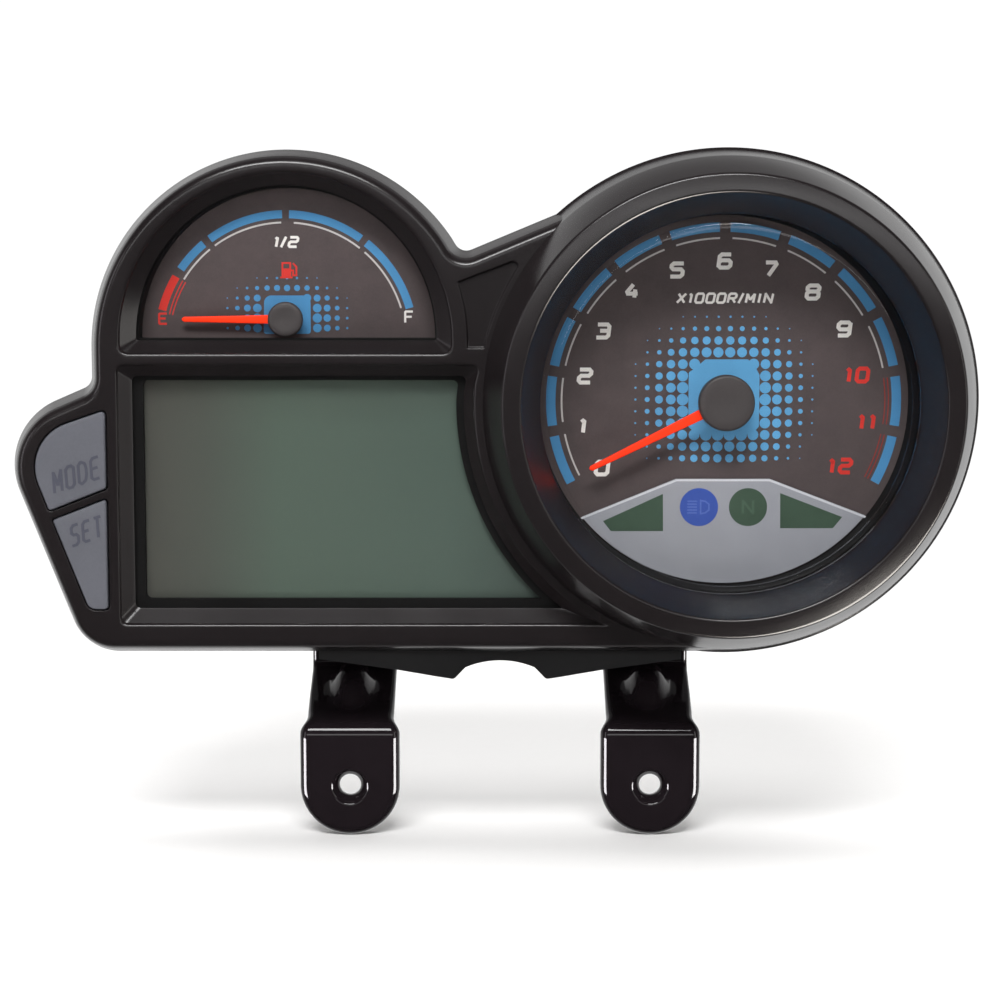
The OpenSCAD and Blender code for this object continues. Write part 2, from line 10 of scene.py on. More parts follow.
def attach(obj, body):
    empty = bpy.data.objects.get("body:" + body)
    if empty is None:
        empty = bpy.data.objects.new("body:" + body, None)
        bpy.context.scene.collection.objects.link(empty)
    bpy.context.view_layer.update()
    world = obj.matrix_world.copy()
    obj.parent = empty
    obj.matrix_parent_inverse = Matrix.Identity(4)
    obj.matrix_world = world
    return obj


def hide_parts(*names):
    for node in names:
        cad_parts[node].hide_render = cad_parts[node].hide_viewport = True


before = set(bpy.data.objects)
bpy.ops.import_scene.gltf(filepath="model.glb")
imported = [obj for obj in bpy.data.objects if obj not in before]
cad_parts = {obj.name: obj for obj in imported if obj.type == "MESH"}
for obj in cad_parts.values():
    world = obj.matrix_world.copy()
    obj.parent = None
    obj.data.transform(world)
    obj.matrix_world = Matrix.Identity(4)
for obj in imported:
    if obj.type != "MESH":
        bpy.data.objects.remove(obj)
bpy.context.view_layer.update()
random.seed(4)
MM = 0.001

# ------------------------------------------------------------------ measures, mm
TACH = (53.65, 95.3)
FUEL = (-50.67, 115.0)
DOME = (-50.16, 108.1)
Y_FACE, Y_FRONT, Y_FOOT, Y_BACK = -20.0, -33.0, -11.0, 20.0
Z_BOT = 35.1


# ------------------------------------------------------------------ 2D outlines (x, z)
def unit(v):
    n = math.hypot(v[0], v[1])
    return (v[0] / n, v[1] / n)


def arc(c, r, a0, a1, n):
    return [(c[0] + r * math.cos(math.radians(a0 + (a1 - a0) * i / n)),
             c[1] + r * math.sin(math.radians(a0 + (a1 - a0) * i / n))) for i in range(n + 1)]


def corner(A, B, C, r, n=10):
    u = unit((A[0] - B[0], A[1] - B[1]))
    v = unit((C[0] - B[0], C[1] - B[1]))
    h = math.acos(max(-1, min(1, u[0] * v[0] + u[1] * v[1]))) / 2
    t = r / math.tan(h)
    m = unit((u[0] + v[0], u[1] + v[1]))
    c = (B[0] + m[0] * r / math.sin(h), B[1] + m[1] * r / math.sin(h))
    a = math.degrees(math.atan2(B[1] + u[1] * t - c[1], B[0] + u[0] * t - c[0]))
    b = math.degrees(math.atan2(B[1] + v[1] * t - c[1], B[0] + v[0] * t - c[0]))
    d = (b - a + 900) % 360 - 180
    return [(c[0] + r * math.cos(math.radians(a + d * k / n)),
             c[1] + r * math.sin(math.radians(a + d * k / n))) for k in range(n + 1)]


def rounded(P, R, n=8):
    out = []
    m = len(P)
    for i in range(m):
        if R[i] <= 0:
            out.append(tuple(P[i]))
        else:
            out += corner(P[i - 1], P[i], P[(i + 1) % m], R[i], n)
    return out


def area(P):
    return sum(P[i - 1][0] * P[i][1] - P[i][0] * P[i - 1][1] for i in range(len(P))) / 2


def ccw(P):
    return list(P) if area(P) > 0 else list(reversed(P))


def inset(P, d):
    """counter-clockwise closed outline moved inwards by d"""
    m = len(P)
    out = []
    for i in range(m):
        e = unit((P[i][0] - P[i - 1][0], P[i][1] - P[i - 1][1]))
        f = unit((P[(i + 1) % m][0] - P[i][0], P[(i + 1) % m][1] - P[i][1]))
        s = (-e[1] - f[1], e[0] + f[0])
        k = d * 2 / max(s[0] * s[0] + s[1] * s[1], 0.35)
        out.append((P[i][0] + s[0] * k, P[i][1] + s[1] * k))
    return out


def densify(P, step):
    """adds points on long straight edges"""
    out = []
    for i in range(len(P)):
        a, b = P[i], P[(i + 1) % len(P)]
        n = max(1, int(math.hypot(b[0] - a[0], b[1] - a[1]) / step))
        out += [(a[0] + (b[0] - a[0]) * k / n, a[1] + (b[1] - a[1]) * k / n) for k in range(n)]
    return out


def inside(p, P):
    c = False
    j = len(P) - 1
    for i in range(len(P)):
        if (P[i][1] > p[1]) != (P[j][1] > p[1]) and \
                p[0] < (P[j][0] - P[i][0]) * (p[1] - P[i][1]) / (P[j][1] - P[i][1]) + P[i][0]:
            c = not c
        j = i
    return c


def dshape(c, r, zb, rc):
    return (arc(c, r, 0, 180, 72)
            + corner((c[0] - r, c[1]), (c[0] - r, zb), (c[0], zb), rc)
            + corner((c[0], zb), (c[0] + r, zb), (c[0] + r, c[1]), rc))


def lshape(x0, z0, z1, r, rc):
    a0 = 180 - math.degrees(math.asin((z1 - TACH[1]) / r))
    a1 = 180 + math.degrees(math.asin((TACH[1] - z0) / r))
    p = arc(TACH, r, a0, a0, 1)[0]
    q = arc(TACH, r, a1, a1, 1)[0]
    return (corner((p[0] + 1.3, z1 - 8), p, (x0, z1), rc)
            + corner((0, z1), (x0, z1), (x0, z0), rc)
            + corner((x0, z1), (x0, z0), (0, z0), rc)
            + [q] + arc(TACH, r, a1 - 3, a0 + 4, 36))


def outline(right_r=60.0, bottom=Z_BOT):
    return (arc(TACH, right_r, -90, 131.6, 120)
            + corner((14.15, 139.76), (-9.17, 130.48), (-11.44, 134.2), 3, 10)
            + arc(DOME, 46.7, 34, 180, 90)
            + corner((-96.86, 104), (-96.86, 99.57), (-107.05, 95.14), 3, 10)
            + corner((-101.05, 97.75), (-120.48, 89.3), (-115.54, 76.73), 16.9, 24)
            + corner((-104.18, 47.8), (-99.19, bottom), (-60, bottom), 11.8, 20))


FUEL_OUT = dshape((-50.16, 110.3), 38.7, 107.4, 2.0)
FUEL_IN = dshape((-50.16, 111.0), 35.3, 110.2, 0.7)
LCD_OUT = lshape(-89.5, 43.5, 104.35, 60, 1.6)
LCD_IN = lshape(-86.6, 46.7, 101.9, 62.2, 1.4)
LCD_WIN = lshape(-84.2, 49.0, 100.3, 64.5, 1.2)
MODE_K = ([(-92.2, 94.4), (-112.7, 87.3), (-106.1, 70.0), (-92.2, 75.5)], [1.2, 11.2, 1.0, 0.9], 12)
SET_K = ([(-92.2, 73.5), (-105.5, 68.3), (-97.1, 46.7), (-92.2, 46.7)], [0.9, 0.7, 2.6, 1.2], 10)
MODE, SET = rounded(*MODE_K), rounded(*SET_K)
POCKET = rounded([(4.2, 129.2), (-9.9, 123.9)] + arc((-50.16, 110.3), 42.5, 15, -2.4, 6)
                 + [(-3.0, 108.5)] + arc(TACH, 58.9, 166, 147, 8),
                 [1.2, 0.5] + [0] * 7 + [0.6] + [0] * 9, 5)


# ------------------------------------------------------------------ mesh builder
class Build:
    """points in mm, (x, y, z)"""

    def __init__(self):
        self.v = []
        self.f = []

    def ring(self, P, y):
        i0 = len(self.v)
        self.v += [(p[0], y, p[1]) for p in P]
        return list(range(i0, i0 + len(P)))

    def pts(self, Q):
        i0 = len(self.v)
        self.v += [tuple(q) for q in Q]
        return list(range(i0, i0 + len(Q)))

    def band(self, a, b, closed=True):
        n = len(a)
        for i in range(n if closed else n - 1):
            j = (i + 1) % n
            self.f.append((a[i], a[j], b[j], b[i]))

    def sweep(self, rings):
        for a, b in zip(rings, rings[1:]):
            self.band(a, b)

    def fan(self, ring, centre):
        c = self.pts([centre])[0]
        for i in range(len(ring)):
            self.f.append((ring[i], ring[(i + 1) % len(ring)], c))

    def cap(self, ring):
        self.f.append(tuple(ring))

    def fill(self, outer, holes, extra=(), y=None):
        """planar fill between an outer ring of indices and hole rings, by constrained triangulation"""
        idx, edges = [], []
        for loop in [outer] + list(holes):
            k = len(idx)
            idx += loop
            edges += [(k + i, k + (i + 1) % len(loop)) for i in range(len(loop))]
        co = [Vector((self.v[i][0], self.v[i][2])) for i in idx]
        y = self.v[outer[0]][1] if y is None else y
        for p in extra:
            idx += self.pts([(p[0], y, p[1])])
            co.append(Vector(p))
        P0 = [(self.v[i][0], self.v[i][2]) for i in outer]
        PH = [[(self.v[i][0], self.v[i][2]) for i in h] for h in holes]
        vs, _, fs, ov, _, _ = delaunay_2d_cdt(co, edges, [], 0, 1e-7)
        back = []
        for n, o in enumerate(ov):
            back.append(idx[o[0]] if o else self.pts([(vs[n][0], y, vs[n][1])])[0])
        for t in fs:
            c = (sum(vs[i][0] for i in t) / 3, sum(vs[i][1] for i in t) / 3)
            if inside(c, P0) and not any(inside(c, h) for h in PH):
                self.f.append(tuple(back[i] for i in t))

    def prism(self, P, y0, y1, e=0.0):
        """closed plate from y0 (front) to y1, front edge eased by e"""
        P = ccw(P)
        rings = []
        if e > 0:
            for k in range(4):
                a = math.radians(30 * k)
                rings.append(self.ring(inset(P, e * (1 - math.sin(a))), y0 + e * (1 - math.cos(a))))
        else:
            rings.append(self.ring(P, y0))
        rings.append(self.ring(P, y1))
        self.sweep(rings)
        self.fill(rings[0], [])
        self.fill(rings[-1], [])

    def revolve(self, c, prof, n=160, a0=0.0):
        """closed profile of (r, y) turned about the line through (c, y)"""
        cols = []
        for r, y in prof:
            if r < 1e-6:
                i = self.pts([(c[0], y, c[1])])[0]
                cols.append([i] * n)
            else:
                cols.append(self.ring(arc(c, r, a0, a0 + 360 - 360 / n, n - 1), y))
        m = len(prof)
        for k in range(m):
            a, b = cols[k], cols[(k + 1) % m]
            if a[0] == a[1] and b[0] == b[1]:
                continue
            for i in range(n):
                j = (i + 1) % n
                q = []
                for t in (a[i], a[j], b[j], b[i]):
                    if t not in q:
                        q.append(t)
                if len(q) > 2:
                    self.f.append(tuple(q))

    def box(self, lo, hi):
        i = self.pts([(x, y, z) for x in (lo[0], hi[0]) for y in (lo[1], hi[1]) for z in (lo[2], hi[2])])
        for q in ((0, 1, 3, 2), (4, 6, 7, 5), (0, 4, 5, 1), (2, 3, 7, 6), (0, 2, 6, 4), (1, 5, 7, 3)):
            self.f.append(tuple(i[k] for k in q))

    def move(self, start, fn):
        self.v[start:] = [fn(p) for p in self.v[start:]]


def make(name, b, body, mat, sharp=35.0, smooth=True, merge=2e-5, weighted=True):
    me = bpy.data.meshes.new(name)
    me.from_pydata([(x * MM, y * MM, z * MM) for x, y, z in b.v], [], b.f)
    bm = bmesh.new()
    bm.from_mesh(me)
    bmesh.ops.remove_doubles(bm, verts=bm.verts, dist=merge * MM * 50)
    bmesh.ops.dissolve_degenerate(bm, edges=bm.edges, dist=1e-7)
    loose = [v for v in bm.verts if not v.link_faces]
    bmesh.ops.delete(bm, geom=loose, context="VERTS")
    bmesh.ops.recalc_face_normals(bm, faces=bm.faces)
    for f in bm.faces:
        f.smooth = smooth
    if smooth:
        lim = math.radians(sharp)
        for e in bm.edges:
            if len(e.link_faces) == 2 and e.calc_face_angle(0) > lim:
                e.smooth = False
    bm.to_mesh(me)
    bm.free()
    ob = bpy.data.objects.new(name, me)
    bpy.context.scene.collection.objects.link(ob)
    me.materials.append(mat)
    if smooth and weighted:
        w = ob.modifiers.new("Weighted", "WEIGHTED_NORMAL")
        w.keep_sharp = True
        w.weight = 60
    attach(ob, body)
    return ob


# ------------------------------------------------------------------ materials
def lin(c):
    return tuple(((x / 255) / 12.92 if x / 255 <= 0.04045 else ((x / 255 + 0.055) / 1.055) ** 2.4) for x in c) + (1,)


def material(name, rgb, rough=0.4, metal=0.0, grain=0.4, bump=0.15, vary=0.12, rvary=0.1, blotch=14.0,
             spec=0.5, coat=0.0, stretch=None, emit=0.0, emit_rgb=None, ridge=None):
    """rgb in sRGB 0-255; grain is the size of the surface grain in mm; blotch that of the slow variation"""
    m = bpy.data.materials.new(name)
    m.use_nodes = True
    nt = m.node_tree
    n, l = nt.nodes, nt.links
    p = n["Principled BSDF"]
    tc = n.new("ShaderNodeTexCoord")
    src = tc.outputs["Object"]
    if stretch:
        mp = n.new("ShaderNodeMapping")
        mp.inputs["Scale"].default_value = stretch
        l.new(src, mp.inputs["Vector"])
        src = mp.outputs["Vector"]
    fine = n.new("ShaderNodeTexNoise")
    fine.inputs["Scale"].default_value = 1000.0 / max(grain, 0.02) * 0.55
    fine.inputs["Detail"].default_value = 3.0
    l.new(src, fine.inputs["Vector"])
    slow = n.new("ShaderNodeTexNoise")
    slow.inputs["Scale"].default_value = 1000.0 / blotch
    slow.inputs["Detail"].default_value = 4.0
    l.new(src, slow.inputs["Vector"])
    ramp = n.new("ShaderNodeValToRGB")
    base = lin(rgb)
    lo = tuple(max(0.0, c * (1 - vary)) for c in base[:3]) + (1,)
    hi = tuple(min(1.0, c * (1 + vary)) for c in base[:3]) + (1,)
    ramp.color_ramp.elements[0].position = 0.3
    ramp.color_ramp.elements[1].position = 0.7
    ramp.color_ramp.elements[0].color = lo
    ramp.color_ramp.elements[1].color = hi
    mixf = n.new("ShaderNodeMath")
    mixf.operation = "MULTIPLY_ADD"
    mixf.inputs[1].default_value = 0.45
    l.new(fine.outputs["Fac"], mixf.inputs[0])
    half = n.new("ShaderNodeMath")
    half.operation = "MULTIPLY"
    half.inputs[1].default_value = 0.55
    l.new(slow.outputs["Fac"], half.inputs[0])
    l.new(half.outputs[0], mixf.inputs[2])
    l.new(mixf.outputs[0], ramp.inputs["Fac"])
    l.new(ramp.outputs["Color"], p.inputs["Base Color"])
    rr = n.new("ShaderNodeMapRange")
    rr.inputs["To Min"].default_value = max(0.02, rough * (1 - rvary))
    rr.inputs["To Max"].default_value = min(1.0, rough * (1 + rvary))
    rr.inputs["From Min"].default_value = 0.3
    rr.inputs["From Max"].default_value = 0.7
    l.new(slow.outputs["Fac"], rr.inputs["Value"])
    l.new(rr.outputs["Result"], p.inputs["Roughness"])
    if bump > 0:
        bp = n.new("ShaderNodeBump")
        bp.inputs["Strength"].default_value = bump
        bp.inputs["Distance"].default_value = grain * 0.12 * MM
        l.new(fine.outputs["Fac"], bp.inputs["Height"])
        l.new(bp.outputs["Normal"], p.inputs["Normal"])
    p.inputs["Metallic"].default_value = metal
    p.inputs["Specular IOR Level"].default_value = spec
    p.inputs["Coat Weight"].default_value = coat
    p.inputs["Coat Roughness"].default_value = 0.06
    if emit > 0:
        p.inputs["Emission Color"].default_value = lin(emit_rgb or rgb)
        p.inputs["Emission Strength"].default_value = emit
    m.diffuse_color = base
    return m


def lens_material(name, tint=(255, 255, 255), rough=0.02):
    m = bpy.data.materials.new(name)
    m.use_nodes = True
    nt = m.node_tree
    n, l = nt.nodes, nt.links
    n.remove(n["Principled BSDF"])
    out = n["Material Output"]
    tr = n.new("ShaderNodeBsdfTransparent")
    tr.inputs["Color"].default_value = lin(tint)
    gl = n.new("ShaderNodeBsdfGlossy")
    gl.inputs["Roughness"].default_value = rough
    tc = n.new("ShaderNodeTexCoord")
    no = n.new("ShaderNodeTexNoise")
    no.inputs["Scale"].default_value = 60.0
    no.inputs["Detail"].default_value = 2.0
    l.new(tc.outputs["Object"], no.inputs["Vector"])
    bp = n.new("ShaderNodeBump")
    bp.inputs["Strength"].default_value = 0.05
    bp.inputs["Distance"].default_value = 0.00004
    l.new(no.outputs["Fac"], bp.inputs["Height"])
    l.new(bp.outputs["Normal"], gl.inputs["Normal"])
    rr = n.new("ShaderNodeMapRange")
    rr.inputs["To Min"].default_value = rough * 0.7
    rr.inputs["To Max"].default_value = rough * 1.5
    l.new(no.outputs["Fac"], rr.inputs["Value"])
    l.new(rr.outputs["Result"], gl.inputs["Roughness"])
    lw = n.new("ShaderNodeLayerWeight")
    lw.inputs["Blend"].default_value = 0.5
    pw = n.new("ShaderNodeMath")
    pw.operation = "POWER"
    pw.inputs[1].default_value = 5.0
    l.new(lw.outputs["Facing"], pw.inputs[0])
    fr = n.new("ShaderNodeMath")
    fr.operation = "MULTIPLY_ADD"
    fr.inputs[1].default_value = 0.3
    fr.inputs[2].default_value = 0.03
    l.new(pw.outputs[0], fr.inputs[0])
    mx = n.new("ShaderNodeMixShader")
    l.new(fr.outputs[0], mx.inputs["Fac"])
    l.new(tr.outputs["BSDF"], mx.inputs[1])
    l.new(gl.outputs["BSDF"], mx.inputs[2])
    l.new(mx.outputs["Shader"], out.inputs["Surface"])
    return m


M = {
    "case": material("case_black_moulded", (27, 23, 24), rough=0.24, grain=0.45, bump=0.05, spec=0.45, vary=0.10, rvary=0.12, blotch=25),
    "rear": material("rear_black_moulded", (26, 25, 26), rough=0.42, grain=0.6, bump=0.45, vary=0.12, blotch=25),
    "rubber": material("black_rubber", (24, 24, 24), rough=0.75, grain=0.3, bump=0.3, vary=0.15, spec=0.3),
    "lens": lens_material("clear_window"),
    "mask": material("matte_black_mask", (13, 12, 12), rough=0.85, grain=0.2, bump=0.15, spec=0.2),
    "dial": material("charcoal_dial", (79, 70, 70), rough=0.8, grain=0.16, bump=0.03, vary=0.16, blotch=4, spec=0.25),
    "trim": material("satin_silver_print", (152, 154, 161), rough=0.45, metal=0.0, grain=0.15, bump=0.05, vary=0.05, blotch=6),
    # painted highlight colour for the lit top edge of the indicator trim
    "trim_top_highlight": material("painted_trim_top_highlight", (206, 208, 214), rough=0.4, grain=0.15, bump=0.05, vary=0.04, blotch=5),
    "green": material("dark_green_lens", (62, 84, 68), rough=0.35, grain=0.5, bump=0.05, vary=0.08, blotch=5),
    "green_mark": material("dark_green_mark", (76, 100, 82), rough=0.35, grain=0.5, bump=0.05, vary=0.05),
    "blue": material("blue_lens_lit", (56, 84, 168), rough=0.35, grain=0.5, bump=0.05, vary=0.08, blotch=5),
    "blue_mark": material("blue_lens_mark", (86, 110, 186), rough=0.35, grain=0.5, bump=0.05, vary=0.05),
    "white": material("white_moulded", (225, 224, 218), rough=0.5, grain=0.5, bump=0.1, vary=0.03),
    "backlight": material("backlight_diffuser", (215, 224, 218), rough=0.6, grain=0.3, bump=0.1, vary=0.03),
    "tin": material("tinned_steel", (178, 180, 184), rough=0.32, metal=1.0, grain=0.3, bump=0.1, vary=0.08),
    "pcb": material("green_solder_mask", (22, 74, 42), rough=0.3, grain=0.8, bump=0.1, vary=0.2, blotch=6),
    "chip": material("epoxy_black", (30, 30, 31), rough=0.55, grain=0.15, bump=0.25, vary=0.1),
    "led": material("phosphor_yellow", (222, 214, 150), rough=0.4, grain=0.3, bump=0.1, vary=0.06),
    "copper": material("enamelled_copper", (176, 92, 48), rough=0.3, metal=0.9, grain=0.25, bump=0.4, stretch=(1, 8, 1)),
    "bobbin": material("bobbin_nylon", (214, 207, 186), rough=0.55, grain=0.4, bump=0.15, vary=0.05),
    "magnet": material("sintered_ferrite", (62, 61, 64), rough=0.65, metal=0.3, grain=0.25, bump=0.5, vary=0.2),
    "brass": material("turned_brass", (190, 156, 88), rough=0.28, metal=1.0, grain=0.25, bump=0.2, stretch=(1, 6, 1)),
    "paint": material("gloss_black_paint", (27, 22, 25), rough=0.07, grain=2.2, bump=0.025, vary=0.1, rvary=0.25, blotch=12, spec=0.3),
    "zinc": material("bright_zinc", (188, 188, 190), rough=0.3, metal=1.0, grain=0.3, bump=0.12, vary=0.12, blotch=2.5),
    # painted glow: a faint orange emission on the pointer, which is no lamp
    "needle": material("needle_orange", (255, 52, 4), rough=0.5, grain=0.3, bump=0.05, vary=0.04, emit=0.22, emit_rgb=(255, 44, 0), spec=0.25),
    "cap": material("cap_satin_black", (62, 57, 57), rough=0.5, grain=0.3, bump=0.25, vary=0.12),
    "key": material("key_grey_matte", (88, 89, 96), rough=0.6, grain=0.35, bump=0.3, vary=0.07, blotch=8, spec=0.35),
    "ivory": material("socket_nylon", (222, 218, 204), rough=0.5, grain=0.5, bump=0.12, vary=0.04),
    "p_white": material("print_grey_white", (228, 225, 220), rough=0.6, grain=0.15, bump=0.05, vary=0.06, blotch=3, spec=0.2),
    "p_thin": material("print_thin_line", (192, 189, 186), rough=0.6, grain=0.15, bump=0.05, vary=0.06, blotch=3, spec=0.2),
    "p_blue": material("print_blue", (74, 138, 186), rough=0.6, grain=0.15, bump=0.05, vary=0.08, blotch=6, spec=0.2),
    "p_light": material("print_light_blue", (92, 160, 206), rough=0.6, grain=0.15, bump=0.05, vary=0.06, blotch=5, spec=0.2),
    "p_red": material("print_red", (206, 52, 44), rough=0.6, grain=0.15, bump=0.05, vary=0.06, blotch=4, spec=0.2),
    "p_dim": material("print_dim_red", (150, 48, 42), rough=0.6, grain=0.15, bump=0.05, vary=0.08, blotch=3, spec=0.2),
    "key_mark": material("key_raised_mark", (70, 71, 82), rough=0.62, grain=0.35, bump=0.25, vary=0.07, blotch=8, spec=0.3),
    "p_line": material("needle_groove", (20, 18, 18), rough=0.6, grain=0.2, bump=0.1),
}


def lcd_material():
    """grey-green polariser with painted shade: darker and warmer towards the left end, darker towards the right end and
    along the top edge, cooler in the middle, by place on the panel
    """
    m = material("lcd_grey_green_painted_shade", (79, 92, 83), rough=0.22, grain=0.4, bump=0.03, vary=0.03, blotch=30)
    nt = m.node_tree
    n, l = nt.nodes, nt.links
    p = n["Principled BSDF"]
    old = p.inputs["Base Color"].links[0].from_socket
    tc = n.new("ShaderNodeTexCoord")
    sx = n.new("ShaderNodeSeparateXYZ")
    l.new(tc.outputs["Object"], sx.inputs[0])
    mr = n.new("ShaderNodeMapRange")
    mr.inputs["From Min"].default_value = -0.086
    mr.inputs["From Max"].default_value = 0.012
    l.new(sx.outputs["X"], mr.inputs["Value"])
    # painted shade across the panel: darker and warmer at the left end, darker at the right end by the barrel
    lcd_tint_and_edge_shade = n.new("ShaderNodeValToRGB")
    e = lcd_tint_and_edge_shade.color_ramp.elements
    e[0].position, e[0].color = 0.0, lin((74, 70, 66))
    e[1].position, e[1].color = 1.0, lin((62, 72, 68))
    for pos, c in ((0.16, (75, 77, 71)), (0.34, (79, 92, 82)), (0.75, (77, 91, 83))):
        q = e.new(pos)
        q.color = lin(c)
    l.new(mr.outputs["Result"], lcd_tint_and_edge_shade.inputs["Fac"])
    # painted shade along the top edge of the panel, under the window frame
    lcd_top_shade_band = n.new("ShaderNodeMapRange")
    lcd_top_shade_band.inputs["From Min"].default_value = 0.090
    lcd_top_shade_band.inputs["From Max"].default_value = 0.104
    l.new(sx.outputs["Z"], lcd_top_shade_band.inputs["Value"])
    lcd_top_painted_shade = n.new("ShaderNodeMix")
    lcd_top_painted_shade.data_type = "RGBA"
    lcd_top_painted_shade.blend_type = "MULTIPLY"
    lcd_top_painted_shade.inputs["B"].default_value = (0.72, 0.66, 0.66, 1)
    l.new(lcd_top_shade_band.outputs["Result"], lcd_top_painted_shade.inputs["Factor"])
    l.new(lcd_tint_and_edge_shade.outputs["Color"], lcd_top_painted_shade.inputs["A"])
    mix = n.new("ShaderNodeMix")
    mix.data_type = "RGBA"
    mix.blend_type = "MIX"
    mix.inputs["Factor"].default_value = 0.82
    l.new(old, mix.inputs["A"])
    l.new(lcd_top_painted_shade.outputs["Result"], mix.inputs["B"])
    l.new(mix.outputs["Result"], p.inputs["Base Color"])
    return m


M["lcd"] = lcd_material()

NODE_MAT = {
    "rear_case": "rear", "lower_skirt": "rear", "case_seal": "rubber", "window_lens": "lens",
    "tach_lens": "lens", "tach_lens_seal": "rubber", "tach_shroud": "mask", "window_mask": "mask",
    "dial_carrier": "white", "tach_dial": "dial", "fuel_dial": "dial", "indicator_trim": "trim",
    "turn_signal_lenses": "green", "high_beam_lens": "blue", "neutral_lens": "green",
    "telltale_light_box": "white", "lcd_panel": "lcd", "lcd_backlight": "backlight", "lcd_holder": "white",
    "lcd_pins": "tin", "main_pcb": "pcb", "microcontroller": "chip", "capacitors": "chip",
    "voltage_regulator": "chip", "backlight_leds": "led", "telltale_leds": "led",
    "tach_movement_can": "tin", "fuel_movement_can": "tin", "tach_bobbin": "bobbin", "fuel_bobbin": "bobbin",
    "tach_coil_sine": "copper", "tach_coil_cosine": "copper", "fuel_coil_sine": "copper", "fuel_coil_cosine": "copper",
    "mode_switch": "chip", "set_switch": "chip", "harness_socket": "ivory", "harness_pins": "brass",
    "vent_plug": "rubber", "bracket_pads": "rubber", "bracket_bolts": "zinc", "bracket_washers": "zinc",
    "threaded_inserts": "brass", "case_screws": "zinc", "pcb_screws": "zinc", "tach_rotor_magnet": "magnet",
    "fuel_rotor_magnet": "magnet", "tach_spindle": "zinc", "fuel_spindle": "zinc",
    "mode_switch_plunger": "bobbin", "set_switch_plunger": "bobbin",
}
for node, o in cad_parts.items():
    key = NODE_MAT.get(node)
    if key:
        if o.data.materials:
            for i in range(len(o.data.materials)):
                o.data.materials[i] = M[key]
        else:
            o.data.materials.append(M[key])


def ease(node, width, segments=2, angle=40):
    """small rounding on the edges of a moulded or pressed CAD part, as a modifier"""
    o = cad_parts[node]
    q = o.modifiers.new("Join", "WELD")
    q.merge_threshold = 2e-6
    b = o.modifiers.new("Edge", "BEVEL")
    b.width = width * MM
    b.segments = segments
    b.limit_method = "ANGLE"
    b.angle_limit = math.radians(angle)
    b.harden_normals = False




for node, width in (("harness_socket", 0.35), ("vent_plug", 0.5), ("bracket_pads", 0.35), ("bracket_bolts", 0.35),
                    ("bracket_washers", 0.15), ("lower_skirt", 0.45)):
    ease(node, width)


# ------------------------------------------------------------------ bezel body
def arc_prof(r, n, a0=0.0, a1=90.0):
    return [math.radians(a0 + (a1 - a0) * k / n) for k in range(n + 1)]


def bezel_body():
    b = Build()
    O = outline(59.8, 35.5)
    prof = [(2.4, -11.0), (0.45, -11.0), (0.12, -11.12), (0.0, -11.45)]
    # drafted side, then the rounding over to the face
    prof += [(0.9, -14.6), (1.75, -17.9)]
    fr = 2.1
    cx, cy = 1.95 + fr, -20.0 + fr
    for k in range(9):
        a = math.radians(12 + 78 * k / 8)
        prof.append((cx - fr * math.cos(a), cy - fr * math.sin(a)))
    rings = [b.ring(inset(O, d), y) for d, y in prof]
    b.sweep(rings)
    face = rings[-1]
    back = b.ring(inset(O, 4.4), -17.4)
    inner = b.ring(inset(O, 2.7), -12.4)
    b.sweep([face])
    b.band(rings[0], inner)
    b.band(inner, back)

    fh, bh = [], []

    def window(out, inn, r, deep):
        loops = []
        for k in range(6):
            a = math.radians(18 * k)
            loops.append(b.ring(inset(out, -r * (1 - math.sin(a))), -20 + r * (1 - math.cos(a))))
        # sloping wall to the window
        y1 = -20 + r
        for t in (0.06, 0.35, 0.7, 0.93):
            P = [(p[0] + (q[0] - p[0]) * t, p[1] + (q[1] - p[1]) * t) for p, q in zip(out, inn)]
            loops.append(b.ring(P, y1 + (deep - y1) * t))
        loops.append(b.ring(inset(inn, 0.02), deep))
        loops.append(b.ring(inset(inn, -0.15), deep + 0.12))
        loops.append(b.ring(inset(inn, -1.1), deep + 0.12))
        loops.append(b.ring(inset(inn, -1.1), -17.4))
        b.sweep(loops)
        fh.append(loops[0])
        bh.append(loops[-1])

    window(FUEL_OUT, FUEL_IN, 0.9, -16.65)
    window(LCD_OUT, LCD_IN, 0.9, -16.65)
    for S in (MODE, SET):
        loops = []
        for k in range(5):
            a = math.radians(22.5 * k)
            loops.append(b.ring(inset(S, -0.35 * (1 - math.sin(a))), -20 + 0.35 * (1 - math.cos(a))))
        loops.append(b.ring(S, -17.4))
        b.sweep(loops)
        fh.append(loops[0])
        bh.append(loops[-1])
    # shallow pocket between the dome and the barrel
    loops = []
    for k in range(5):
        a = math.radians(22.5 * k)
        loops.append(b.ring(inset(POCKET, -0.28 * (1 - math.sin(a))), -20 + 0.28 * (1 - math.cos(a))))
    for k in range(5):
        a = math.radians(22.5 * k)
        loops.append(b.ring(inset(POCKET, 0.08 + 0.3 * (1 - math.cos(a))), -19.35 + 0.3 * math.sin(a)))
    b.sweep(loops)
    b.fill(loops[-1], [])
    fh.append(loops[0])
    c0 = b.ring(arc(TACH, 52, 0, 357, 119), -20)
    c1 = b.ring(arc(TACH, 52, 0, 357, 119), -17.4)
    b.band(c0, c1)
    b.fill(face, fh + [c0])
    b.fill(back, bh + [c1])
    return b


bezel = make("bezel_body", bezel_body(), "housing", M["case"], sharp=32)
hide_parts("front_bezel")


